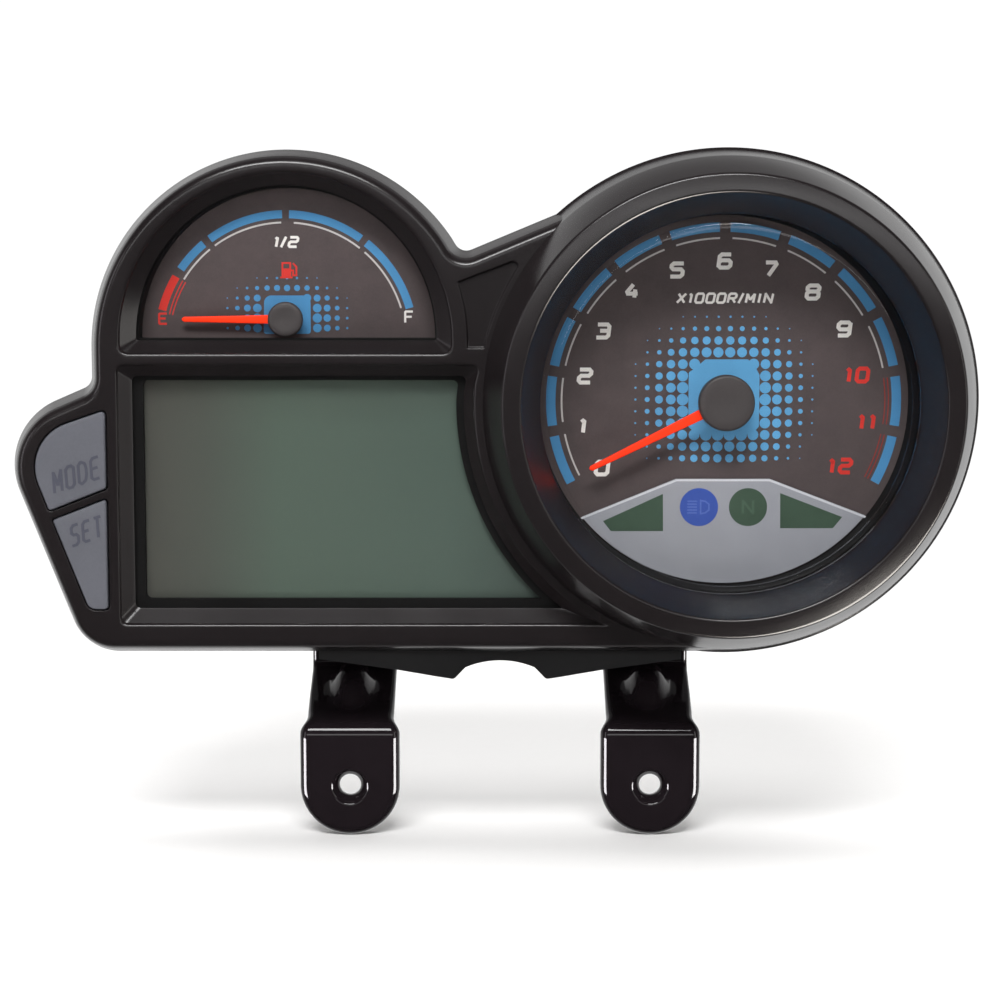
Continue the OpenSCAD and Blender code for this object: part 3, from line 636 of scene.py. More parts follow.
def barrel():
    b = Build()
    prof = [(57.4, -11.0), (59.3, -11.0), (59.8, -11.1), (60.02, -11.45), (60.0, -12.1), (59.72, -12.45), (59.35, -12.7)]
    # outer cone; a small cove where it meets the main face
    prof += [(58.6, -16.0), (57.95, -18.9), (57.65, -20.2), (55.6, -26.5)]
    for k in range(7):
        a = math.radians(16 + 66 * k / 6)
        prof.append((52.6 + 1.0 * math.cos(a), -31.62 - 1.0 * math.sin(a)))
    prof += [(51.2, -32.82), (49.6, -33.0)]
    for k in range(1, 6):
        a = math.radians(92 + 62 * k / 5)
        prof.append((49.5 + 0.8 * math.cos(a), -32.2 - 0.8 * math.sin(a)))
    prof += [(46.9, -28.6), (44.75, -23.9), (44.5, -23.4), (44.3, -23.2), (44.3, -22.0), (47.2, -22.0), (47.2, -19.4),
             (54.2, -19.4), (56.0, -13.5)]
    b.revolve(TACH, prof, 240)
    return b


bar = make("bezel_barrel", barrel(), "housing", M["case"], sharp=26)
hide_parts("front_bezel")


# ------------------------------------------------------------------ tachometer lens
def tach_lens():
    b = Build()
    prof = []
    for k in range(16):
        r = 40.6 * k / 15
        prof.append((r, -26.2 + 0.00076 * r * r))
    y0 = prof[-1][1]
    rs = 3.3
    for k in range(1, 17):
        a = math.radians(86.5 - 86.5 * k / 16)
        prof.append((44.2 - rs + rs * math.cos(a), y0 + rs - rs * math.sin(a)))
    prof += [(44.2, -21.6), (47.0, -21.6), (47.0, -20.2), (42.8, -20.2), (42.7, -22.4)]
    for k in range(13):
        r = 42.2 * (12 - k) / 12
        prof.append((r, -24.6 + 0.00085 * r * r))
    b.revolve(TACH, prof, 200)
    return b


tl = make("tach_lens_dome", tach_lens(), "housing", M["lens"], sharp=40)
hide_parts("tach_lens")


def window_pane():
    b = Build()
    P = [(-87.9, 45.5), (5.0, 45.5)] + arc(TACH, 60.7, 235, 177.5, 24)[2:-1] + [(-13.4, 103.2)] + \
        arc((-50.16, 111.0), 36.6, 0, 180, 60) + [(-87.9, 103.2)]
    P = [p for p in P]
    b.prism(rounded(P, [1.2] + [0] * (len(P) - 1), 5), -16.5, -15.04, 0.0)
    return b


wp = make("window_pane", window_pane(), "housing", M["lens"], sharp=40)
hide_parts("window_lens")


# ------------------------------------------------------------------ rear case
CASE_PTS = [arc(TACH, 52, a, a, 1)[0] for a in (22, -48, 84)] + [(-90.2, 116.6), (-5, 118), (-82, 41.5), (-8, 41.5), (27, 41.5)]


def circle(c, r, n=48):
    return arc(c, r, 0, 360 - 360 / n, n - 1)


def round_band(b, O, d0, y0, d1, y1, r, n=5):
    """ring list: a rounded outer corner from a wall at inset d0 (ending at depth y0 - r) to the back plane y0"""
    return [b.ring(inset(O, d0 + r * (1 - math.cos(math.radians(90 * k / n)))),
                   y0 - r + r * math.sin(math.radians(90 * k / n))) for k in range(n + 1)]


def rear_shell():
    b = Build()
    O = outline(60.0, 35.1)
    rings = [b.ring(inset(O, 5.2), -12.0), b.ring(inset(O, 3.35), -12.0), b.ring(inset(O, 3.1), -11.8), b.ring(inset(O, 3.0), -11.5),
             b.ring(inset(O, 3.25), 9.0)]
    rings += round_band(b, O, 3.3, 10.6, 0, 0, 1.3)[1:]
    # step, with a small fillet into the upper wall
    rings += [b.ring(inset(O, 5.7), 10.6), b.ring(inset(O, 6.15), 10.7), b.ring(inset(O, 6.42), 10.95), b.ring(inset(O, 6.5), 11.4),
              b.ring(inset(O, 6.75), 18.2)]
    rings += round_band(b, O, 6.8, 20.0, 0, 0, 1.6)[1:]
    b.sweep(rings)
    # openings in the back face
    holes = []
    sock = rounded([(-15.6, 62.4), (15.6, 62.4), (15.6, 77.6), (-15.6, 77.6)], [0.8] * 4, 4)
    loops = [b.ring(inset(sock, -0.5), 20.0), b.ring(inset(sock, -0.15), 20.15 - 0.3), b.ring(sock, 19.5), b.ring(sock, 17.5)]
    b.sweep(loops)
    holes.append(loops)
    vent = circle((-58, 92), 4.0)
    loops = [b.ring(circle((-58, 92), 4.3), 20.0), b.ring(vent, 19.7), b.ring(vent, 17.5)]
    b.sweep(loops)
    holes.append(loops)
    b.fill(rings[-1], [h[0] for h in holes])
    # inside faces
    inner = [b.ring(inset(O, 8.7), 17.5), b.ring(inset(O, 8.7), 8.6), b.ring(inset(O, 5.2), 8.6)]
    b.fill(inner[0], [h[-1] for h in holes])
    b.sweep(inner)
    b.band(inner[-1], rings[0])
    return b


def rear_details():
    b = Build()
    # screw towers with counterbores
    for c in CASE_PTS:
        b.revolve(c, [(2.45, 19.35), (2.45, 4.3), (1.4, 4.3), (1.4, -12.0), (3.3, -12.0), (3.6, 10.0), (3.5, 19.0), (3.2, 19.5), (2.8, 19.6)], 36)
    for c in ((-37, 50), (-37, 62), (37, 50), (37, 62)):
        b.revolve(c, [(3.4, 19.98), (3.4, 11.0), (5.2, 11.0), (5.2, 19.98)], 36)
    # ribs and ring on the back
    for x in (-72, 72):
        P = rounded([(x - 1, 60), (x + 1, 60), (x + 1, 118), (x - 1, 118)], [0.9] * 4, 6)
        rs = [b.ring(inset(P, -0.3), 19.9), b.ring(inset(P, -0.05), 20.25), b.ring(P, 20.6), b.ring(P, 21.1), b.ring(inset(P, 0.12), 21.38), b.ring(inset(P, 0.4), 21.5)]
        b.sweep(rs)
        b.fill(rs[0], [])
        b.fill(rs[-1], [])
    b.revolve(TACH, [(22.4, 19.9), (22.05, 20.3), (22, 21.1), (21.85, 21.4), (21.5, 21.5), (20.5, 21.5), (20.15, 21.4), (20, 21.1), (19.95, 20.3), (19.6, 19.9)], 120)
    return b


ob = make("rear_case_shell", rear_shell(), "housing", M["rear"], sharp=32)
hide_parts("rear_case")
ob = make("rear_case_bosses", rear_details(), "housing", M["rear"], sharp=38)
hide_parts("rear_case")


# ------------------------------------------------------------------ stroke printing
def stroke(P, w, closed=False):
    """outline polygon of a mitred stroke with square ends, or outer and inner loops if closed"""
    m = len(P)
    L, R = [], []
    for i in range(m):
        if closed:
            a, c = P[i - 1], P[(i + 1) % m]
            e, f = unit((P[i][0] - a[0], P[i][1] - a[1])), unit((c[0] - P[i][0], c[1] - P[i][1]))
        else:
            e = unit((P[i][0] - P[i - 1][0], P[i][1] - P[i - 1][1])) if i > 0 else None
            f = unit((P[i + 1][0] - P[i][0], P[i + 1][1] - P[i][1])) if i < m - 1 else None
            e = e or f
            f = f or e
        s = (-e[1] - f[1], e[0] + f[0])
        k = (w / 2) * 2 / max(s[0] * s[0] + s[1] * s[1], 0.9)
        L.append((P[i][0] + s[0] * k, P[i][1] + s[1] * k))
        R.append((P[i][0] - s[0] * k, P[i][1] - s[1] * k))
    return L, R


def print_strokes(b, strokes, w, y, t=0.03):
    """strokes: list of (points, closed) drawn as thin raised lines in front of y"""
    for i, (P, closed) in enumerate(strokes):
        L, R = stroke(P, w, closed)
        h = t * (1 + 0.12 * (i % 5))
        f0, f1 = b.ring(L, y - h), b.ring(R, y - h)
        g0, g1 = b.ring(L, y), b.ring(R, y)
        b.band(f0, f1, closed)
        b.band(g0, g1, closed)
        b.band(f0, g0, closed)
        b.band(f1, g1, closed)
        if not closed:
            for k in (0, len(P) - 1):
                b.f.append((f0[k], f1[k], g1[k], g0[k]))


def chamfer(P, c, closed=True):
    """cuts the corners of a stroke path"""
    out = []
    m = len(P)
    for i in range(m):
        if not closed and i in (0, m - 1):
            out.append(P[i])
            continue
        a, p, q = P[i - 1], P[i], P[(i + 1) % m]
        u = (a[0] - p[0], a[1] - p[1])
        v = (q[0] - p[0], q[1] - p[1])
        lu, lv = math.hypot(*u), math.hypot(*v)
        cu, cv = min(c, lu * 0.45), min(c, lv * 0.45)
        out.append((p[0] + u[0] / lu * cu, p[1] + u[1] / lu * cu))
        out.append((p[0] + v[0] / lv * cv, p[1] + v[1] / lv * cv))
    return out


# squarish characters on a box 1 wide and 1 high: (points, closed)
GLYPH = {
    "0": [([(0, 0), (1, 0), (1, 1), (0, 1)], True)],
    "1": [([(0.15, 0.8), (0.62, 1), (0.62, 0)], False)],
    "2": [([(0, 1), (1, 1), (1, 0.52), (0, 0.52), (0, 0), (1, 0)], False)],
    "3": [([(0, 1), (1, 1), (1, 0), (0, 0)], False), ([(0.25, 0.52), (1, 0.52)], False)],
    "4": [([(0.55, 1), (0.0, 0.3), (1, 0.3)], False), ([(0.76, 0.62), (0.76, 0)], False)],
    "5": [([(1, 1), (0, 1), (0, 0.55), (1, 0.55), (1, 0), (0, 0)], False)],
    "6": [([(0.95, 1), (0, 1), (0, 0.01)], False), ([(0, 0), (1, 0), (1, 0.55), (0, 0.55)], True)],
    "7": [([(0, 1), (1, 1), (0.35, 0)], False)],
    "8": [([(0, 0.54), (1, 0.54), (1, 1), (0, 1)], True), ([(0, 0), (1, 0), (1, 0.54), (0, 0.54)], True)],
    "9": [([(0, 0.47), (1, 0.47), (1, 1), (0, 1)], True), ([(1, 0.99), (1, 0), (0.05, 0)], False)],
    "X": [([(0, 0), (1, 1)], False), ([(0, 1), (1, 0)], False)],
    "R": [([(0, 0), (0, 1), (1, 1), (1, 0.48), (0, 0.48)], False), ([(0.5, 0.48), (1, 0)], False)],
    "/": [([(0, -0.05), (0.8, 1.05)], False)],
    "M": [([(0, 0), (0, 1)], False), ([(0.02, 0.97), (0.5, 0.3)], False), ([(0.5, 0.3), (0.98, 0.97)], False), ([(1, 1), (1, 0)], False)],
    "I": [([(0.5, 0), (0.5, 1)], False)],
    "N": [([(0, 0), (0, 1), (1, 0), (1, 1)], False)],
    "E": [([(1, 1), (0, 1), (0, 0), (1, 0)], False), ([(0, 0.52), (0.85, 0.52)], False)],
    "F": [([(1, 1), (0, 1), (0, 0)], False), ([(0, 0.52), (0.85, 0.52)], False)],
    "D": [([(0, 0), (0.7, 0), (1, 0.25), (1, 0.75), (0.7, 1), (0, 1)], True)],
    "O": [([(0, 0), (1, 0), (1, 1), (0, 1)], True)],
    "S": [([(1, 1), (0, 1), (0, 0.52), (1, 0.52), (1, 0), (0, 0)], False)],
    "T": [([(0, 1), (1, 1)], False), ([(0.5, 1), (0.5, 0)], False)],
}


def text_strokes(s, centre, h, w, gap, pen, slant=0.0, cut=0.22, narrow="1I/", turn=0.0):
    """generic squarish characters, centred; h and w are outer sizes"""
    adv = [(w * (0.62 if ch in narrow else 1.0)) for ch in s]
    total = sum(adv) + gap * (len(s) - 1)
    x = -total / 2
    out = []
    ct, st = math.cos(math.radians(turn)), math.sin(math.radians(turn))
    for ch, a in zip(s, adv):
        ww, hh = a - pen, h - pen
        for pts, closed in GLYPH[ch]:
            P = chamfer([(p[0] * ww, p[1] * hh) for p in pts], cut * h if ch not in "XM/N" else 0.03 * h, closed) \
                if len(pts) > 2 else [(p[0] * ww, p[1] * hh) for p in pts]
            Q = []
            for p in P:
                px = x + pen / 2 + p[0] + slant * (p[1] - hh / 2)
                pz = p[1] - hh / 2
                Q.append((centre[0] + px * ct - pz * st, centre[1] + px * st + pz * ct))
            out.append((Q, closed))
        x += a + gap
    return out


def arc_band(b, c, r0, r1, a0, a1, y, t=0.03, step=2.0):
    n = max(2, int(abs(a1 - a0) / step))
    P = arc(c, r1, a0, a1, n)
    Q = arc(c, r0, a0, a1, n)
    f0, f1 = b.ring(P, y - t), b.ring(Q, y - t)
    g0, g1 = b.ring(P, y), b.ring(Q, y)
    b.band(f0, f1, False)
    b.band(g0, g1, False)
    b.band(f0, g0, False)
    b.band(f1, g1, False)
    for k in (0, n):
        b.f.append((f0[k], f1[k], g1[k], g0[k]))


def dot(b, c, r, y, t=0.03, n=20):
    f = b.ring(arc(c, r, 0, 360 - 360 / n, n - 1), y - t)
    g = b.ring(arc(c, r, 0, 360 - 360 / n, n - 1), y)
    b.band(f, g)
    b.cap(f)
    b.cap(g)


YD = -6.0      # front of the tachometer dial
YF = -9.5      # front of the fuel dial


def flat(name, b, mat, body="housing"):
    return make(name, b, body, mat, sharp=30, weighted=False, smooth=False)


# blue and red scale of the tachometer
b = Build()
for n in range(12):
    a0 = 210 - 20 * n - 1.8
    arc_band(b, TACH, 40.35, 42.6, a0, a0 - 16.4, YD)
flat("tach_scale_blue", b, M["p_blue"])
b = Build()
for n in range(10):
    a0 = 210 - 20 * n - 2.6
    arc_band(b, TACH, 38.68, 39.1, a0, a0 - 15.6, YD)
flat("tach_scale_white", b, M["p_thin"])
b = Build()
for n in (10, 11):
    a0 = 210 - 20 * n - 1.8
    arc_band(b, TACH, 39.45, 39.68, a0, a0 - 16.4, YD)
    arc_band(b, TACH, 38.6, 38.83, a0, a0 - 16.4, YD)
flat("tach_scale_red", b, M["p_dim"])

NUM = [("0", 24.56, 79.16), ("1", 19.95, 89.29), ("2", 20.38, 101.3), ("3", 24.65, 112.07), ("4", 31.53, 121.6),
       ("5", 42.24, 126.59), ("6", 53.67, 128.73), ("7", 64.66, 126.83), ("8", 74.76, 121.36), ("9", 82.3, 112.55),
       ("10", 85.59, 101.54), ("11", 88.18, 90.25), ("12", 81.86, 79.64)]
bw, br = Build(), Build()
for s, x, z in NUM:
    print_strokes(br if len(s) == 2 else bw,
                  text_strokes(s, (x, z), 4.05, 3.75 if len(s) == 1 else 3.5, 0.45, 0.94, slant=0.12, cut=0.12), 0.94, YD)
flat("tach_numerals_white", bw, M["p_white"])
flat("tach_numerals_red", br, M["p_red"])
b = Build()
print_strokes(b, text_strokes("X1000R/MIN", (53.76, 119.9), 2.7, 2.3, 0.30, 0.56, slant=0.22, cut=0.12), 0.56, YD)
flat("tach_scale_label", b, M["p_white"])

# halftone field behind the tachometer pointer
b = Build()
PITCH = 2.83
HX, HZ = 53.72, TACH[1] + 0.36
LUT = [(0.0, 0.5), (0.44, 0.495), (0.56, 0.42), (0.69, 0.345), (0.78, 0.26), (0.84, 0.19), (0.9, 0.13), (0.96, 0.085), (1.03, 0.05)]


def lut(table, k):
    for (k0, r0), (k1, r1) in zip(table, table[1:]):
        if k0 <= k <= k1:
            return r0 + (r1 - r0) * (k - k0) / (k1 - k0)
    return 0.0


core = [(-3.0, -2.3), (-2.3, -2.95), (2.4, -2.95), (3.0, -2.3), (3.0, 2.1), (2.5, 3.0), (2.0, 3.4), (-1.6, 3.4), (-2.4, 2.7), (-3.0, 2.3)]
core = rounded([(HX + u * PITCH, HZ + v * PITCH) for u, v in core], [0.6] * len(core), 4)
for i in range(16):
    u = i - 7.5
    for j in range(13):
        v = 7 - j            # rows above the axis are positive
        c = (HX + u * PITCH, HZ + v * PITCH)
        if inside(c, inset(core, 0.3)):
            continue
        d = ((abs(u) / 7.9) ** 2.3 + (abs(v) / 7.4) ** 2.3) ** (1 / 2.3)
        r = lut(LUT, d)
        if r > 0.03:
            dot(b, c, r * PITCH, YD)
b.prism(core, YD - 0.045, YD)
flat("tach_halftone", b, M["p_light"])

# painted highlight: a pale raised line along the top edge of the indicator panel, where the edge catches the light;
# lamp marks
b = Build()
print_strokes(b, [([(17.8, 66.35), (42.4, 76.3), (64.8, 76.3), (89.6, 66.75)], False)], 0.5, -7.0, 0.05)
flat("trim_top_painted_highlight", b, M["trim_top_highlight"])
b = Build()
print_strokes(b, text_strokes("N", (59.7, 69.8), 3.6, 3.0, 0, 0.55, cut=0.02), 0.55, -7.05)
flat("neutral_mark", b, M["green_mark"])
b = Build()
print_strokes(b, [([(48.3, 71.4), (49.4, 71.2), (50.3, 70.5), (50.3, 69.1), (49.4, 68.4), (48.3, 68.2)], True)]
              + [([(47.4, 71.2 - 0.7 * k), (45.1, 71.2 - 0.7 * k)], False) for k in range(5)], 0.34, -7.05)
flat("high_beam_mark", b, M["blue_mark"])

# fuel gauge scale
FC = (-50.77, 109.3)
b = Build()
for p, q in (((-31.49, 133.21), (-21.38, 117.63)), ((-49.9, 139.79), (-32.67, 134.38)),
             ((-68.9, 134.15), (-51.56, 139.79)), ((-76.1, 127.08), (-70.1, 132.74))):
    a0 = math.degrees(math.atan2(p[1] - FC[1], p[0] - FC[0]))
    a1 = math.degrees(math.atan2(q[1] - FC[1], q[0] - FC[0]))
    arc_band(b, FC, 29.5, 31.4, a0, a1, YF)
flat("fuel_scale_blue", b, M["p_blue"])
b = Build()
for a0, a1 in ((86, 52), (49, 17), (126, 92), (148, 129)):
    arc_band(b, FC, 28.3, 28.72, a0, a1, YF)
flat("fuel_scale_white", b, M["p_thin"])
b = Build()
a0 = math.degrees(math.atan2(117.39 - FC[1], -81.23 - FC[0]))
a1 = math.degrees(math.atan2(125.19 - FC[1], -77.08 - FC[0]))
arc_band(b, FC, 29.5, 31.4, a0, a1, YF)
arc_band(b, FC, 28.45, 28.7, a0 + 1, a1, YF)
arc_band(b, FC, 27.7, 27.95, a0 + 1, a1, YF)
print_strokes(b, text_strokes("E", (-80.08, 115.1), 2.9, 2.3, 0, 0.48, cut=0.06), 0.5, YF)
# pump outline
PX, PZ = -50.03, 126.61
b.prism(rounded([(PX - 1.75, PZ - 1.55), (PX + 0.5, PZ - 1.55), (PX + 0.5, PZ + 0.35), (PX - 1.75, PZ + 0.35)], [0.1] * 4, 2),
        YF - 0.05, YF)
print_strokes(b, [([(PX - 1.55, PZ + 0.2), (PX - 1.55, PZ + 1.65), (PX + 0.3, PZ + 1.65), (PX + 0.3, PZ + 0.2)], False),
                  ([(PX - 2.1, PZ - 1.75), (PX + 0.85, PZ - 1.75)], False),
                  ([(PX + 0.4, PZ - 0.1), (PX + 1.0, PZ - 0.1), (PX + 1.0, PZ - 1.25), (PX + 1.75, PZ - 1.25),
                    (PX + 1.75, PZ + 0.75), (PX + 0.95, PZ + 1.6)], False)], 0.4, YF)
flat("fuel_marks_red", b, M["p_red"])
b = Build()
print_strokes(b, text_strokes("F", (-21.62, 115.5), 3.1, 2.3, 0, 0.5, cut=0.05), 0.5, YF)
print_strokes(b, text_strokes("1/2", (-50.68, 133.21), 2.85, 2.5, 0.22, 0.62, slant=0.2, cut=0.10), 0.62, YF)
flat("fuel_marks_white", b, M["p_white"])
b = Build()
FP = 2.37
FLUT = [(0.0, 0.5), (0.45, 0.47), (0.6, 0.38), (0.75, 0.27), (0.88, 0.15), (1.0, 0.07), (1.05, 0.05)]
fcore = rounded([(FUEL[0] - 5.5, 111.5), (FUEL[0] + 5.7, 111.5), (FUEL[0] + 5.7, FUEL[1] + 5.6),
                 (FUEL[0] - 5.3, FUEL[1] + 5.6)], [0.7, 0.7, 1.9, 1.7], 6)
for i in range(-8, 9):
    for j in range(-1, 5):
        x, z = FUEL[0] + 0.15 + i * FP, FUEL[1] + 0.25 + j * FP
        if inside((x, z), inset(fcore, 0.2)):
            continue
        r = lut(FLUT, math.hypot(i / 6.6, j / 4.4))
        if r < 0.04 or not inside((x, z), inset(FUEL_IN, 0.8)):
            continue
        dot(b, (x, z), r * FP, YF, n=16)
b.prism(fcore, YF - 0.045, YF)
flat("fuel_halftone", b, M["p_blue"])


# ------------------------------------------------------------------ pointers and caps
def pointer(name, p, ang, length, w0, w1, y0, y1, hub, hub_y, node):
    b = Build()
    pts = [(hub * 0.55, -w0 / 2 - 0.15), (length - 0.5, -w1 / 2), (length, -w1 / 2 + 0.4), (length, w1 / 2 - 0.4),
           (length - 0.5, w1 / 2), (hub * 0.55, w0 / 2 + 0.15)]
    P = ccw(densify(pts, 4.0))
    r0 = b.ring(P, y1)
    r1 = b.ring(P, y0 + 0.28)
    r2 = b.ring(inset(P, 0.12), y0 + 0.08)
    r3 = b.ring(inset(P, 0.34), y0)
    b.sweep([r0, r1, r2, r3])
    b.fill(r3, [])
    b.fill(r0, [])
    ca, sa = math.cos(math.radians(ang)), math.sin(math.radians(ang))
    b.move(0, lambda q: (p[0] + q[0] * ca - q[2] * sa, q[1], p[1] + q[0] * sa + q[2] * ca))
    b.revolve(p, [(0.62, y0), (hub - 0.2, y0), (hub, y0 + 0.2), (hub, hub_y), (0.62, hub_y)], 48)
    return b


ob = make("tach_pointer_bar", pointer("t", TACH, 206.3, 36, 2.3, 1.25, -12.0, -11.0, 4.0, -9.8, "tach_needle"),
          "tach_pointer", M["needle"], sharp=45)
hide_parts("tach_needle")
ob = make("fuel_pointer_bar", pointer("f", FUEL, 180, 24.6, 1.9, 1.2, -12.2, -11.4, 2.6, -10.2, "fuel_needle"),
          "fuel_pointer", M["needle"], sharp=45)
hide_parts("fuel_needle")


def cap(c, R, y_top, y_bot, hole_y):
    """turned-look cap: domed top with a soft shoulder and a faint dish"""
    b = Build()
    prof = [(0.0, y_top + 0.12), (R * 0.35, y_top + 0.10), (R * 0.62, y_top + 0.02), (R * 0.72, y_top)]
    rr = 0.75
    for k in range(7):
        a = math.radians(90 - 90 * k / 6)
        prof.append((R - rr + rr * math.cos(a), y_top + rr + 0.05 - rr * math.sin(a)))
    prof += [(R, y_bot - 0.15), (R - 0.15, y_bot), (0.62, y_bot), (0.62, hole_y), (0.0, hole_y)]
    b.revolve(c, prof, 96)
    return b


ob = make("tach_cap_turned", cap(TACH, 6.65, -15.2, -12.0, -13.2), "tach_pointer", M["cap"], sharp=40)
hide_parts("tach_needle_cap")
ob = make("fuel_cap_turned", cap(FUEL, 4.15, -14.4, -12.2, -13.0), "fuel_pointer", M["cap"], sharp=40)
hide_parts("fuel_needle_cap")


# ------------------------------------------------------------------ keys
def key(S, stem):
    b = Build()
    V, R, N = S

    def cont(d):
        """the key's outline moved in by d, corner radii kept above a small value"""
        return rounded(inset(V, d), [max(r - d, 0.45) for r in R], N)

    top = -20.8
    rings = [b.ring(cont(0.3), -17.2), b.ring(cont(0.3), top + 0.6)]
    for k in range(1, 6):
        a = math.radians(18 * k)
        rings.append(b.ring(cont(0.3 + 0.5 * (1 - math.cos(a))), top + 0.55 - 0.5 * math.sin(a)))
    rings.append(b.ring(cont(1.3), top))
    b.sweep(rings)
    b.fill(rings[-1], [])
    F = cont(-0.7)
    f0 = b.ring(F, -17.2)
    f1 = b.ring(F, -16.0)
    b.band(f0, f1)
    b.band(rings[0], f0)
    b.fill(f1, [])
    b.revolve(stem, [(0.0, -16.05), (2.4, -16.05), (2.4, 1.7), (2.1, 2.0), (0.0, 2.0)], 40)
    return b


def key_word(word, at, h, w, tilt):
    b = Build()
    print_strokes(b, text_strokes(word, at, h, w, 0.55, 0.66, slant=0.28, cut=0.10, turn=tilt, narrow=""), 0.66, -20.79, 0.09)
    return b


ob = make("mode_key_top", key(MODE_K, (-100, 81.5)), "mode_key", M["key"], sharp=38)
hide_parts("mode_button")
ob = make("set_key_top", key(SET_K, (-97.5, 62)), "set_key", M["key"], sharp=38)
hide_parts("set_button")
flat("mode_key_word", key_word("MODE", (-99.3, 78.9), 5.5, 2.55, 19), M["key_mark"], "mode_key")
flat("set_key_word", key_word("SET", (-97.2, 65.6), 5.2, 2.3, 19), M["key_mark"], "set_key")


# ------------------------------------------------------------------ brackets
def path_with_bends(P, R, n=8):
    out = [P[0]]
    for i in range(1, len(P) - 1):
        out += corner(P[i - 1], P[i], P[i + 1], R[i], n)
    out.append(P[-1])
    return out


def smooth(t):
    t = max(0.0, min(1.0, t))
    return t * t * (3 - 2 * t)


def densify_open(P, step):
    out = []
    for a, c in zip(P, P[1:]):
        n = max(1, int(round(math.hypot(c[0] - a[0], c[1] - a[1]) / step)))
        out += [(a[0] + (c[0] - a[0]) * k / n, a[1] + (c[1] - a[1]) * k / n) for k in range(n)]
    out.append(P[-1])
    return out


# Half profile of the pressed strip across its width: (distance from the outer edge, depth behind the front skin).
# It starts on the middle of the front, rolls over the edge, turns back behind and returns to the middle.
def half_profile(w, lip, r=2.3, t=2.5):
    P = [(0.0, 0.0), (w * 0.45, 0.0), (w - r - 0.9, 0.0)]
    for k in range(0, 9):
        a = math.radians(90 * k / 8)
        P.append((w - r + r * math.sin(a), r - r * math.cos(a)))
    back = max(lip + t * 0.0, 2.5)
    depth = max(back, r + 0.1)
    P.append((w, depth - 0.15))
    P.append((w - 0.2, depth))
    inn = 1.9
    P.append((w - inn + 0.2, depth))
    P.append((w - inn, depth - 0.15))
    if depth > t + 0.6:
        P.append((w - inn - 0.1, t + 0.7))
        P.append((w - inn - 0.7, t))
    else:
        P.append((w - inn - 0.1, min(depth, t) - 0.02))
        P.append((w - inn - 0.7, t))
    P.append((w * 0.45, t))
    P.append((0.0, t))
    return P


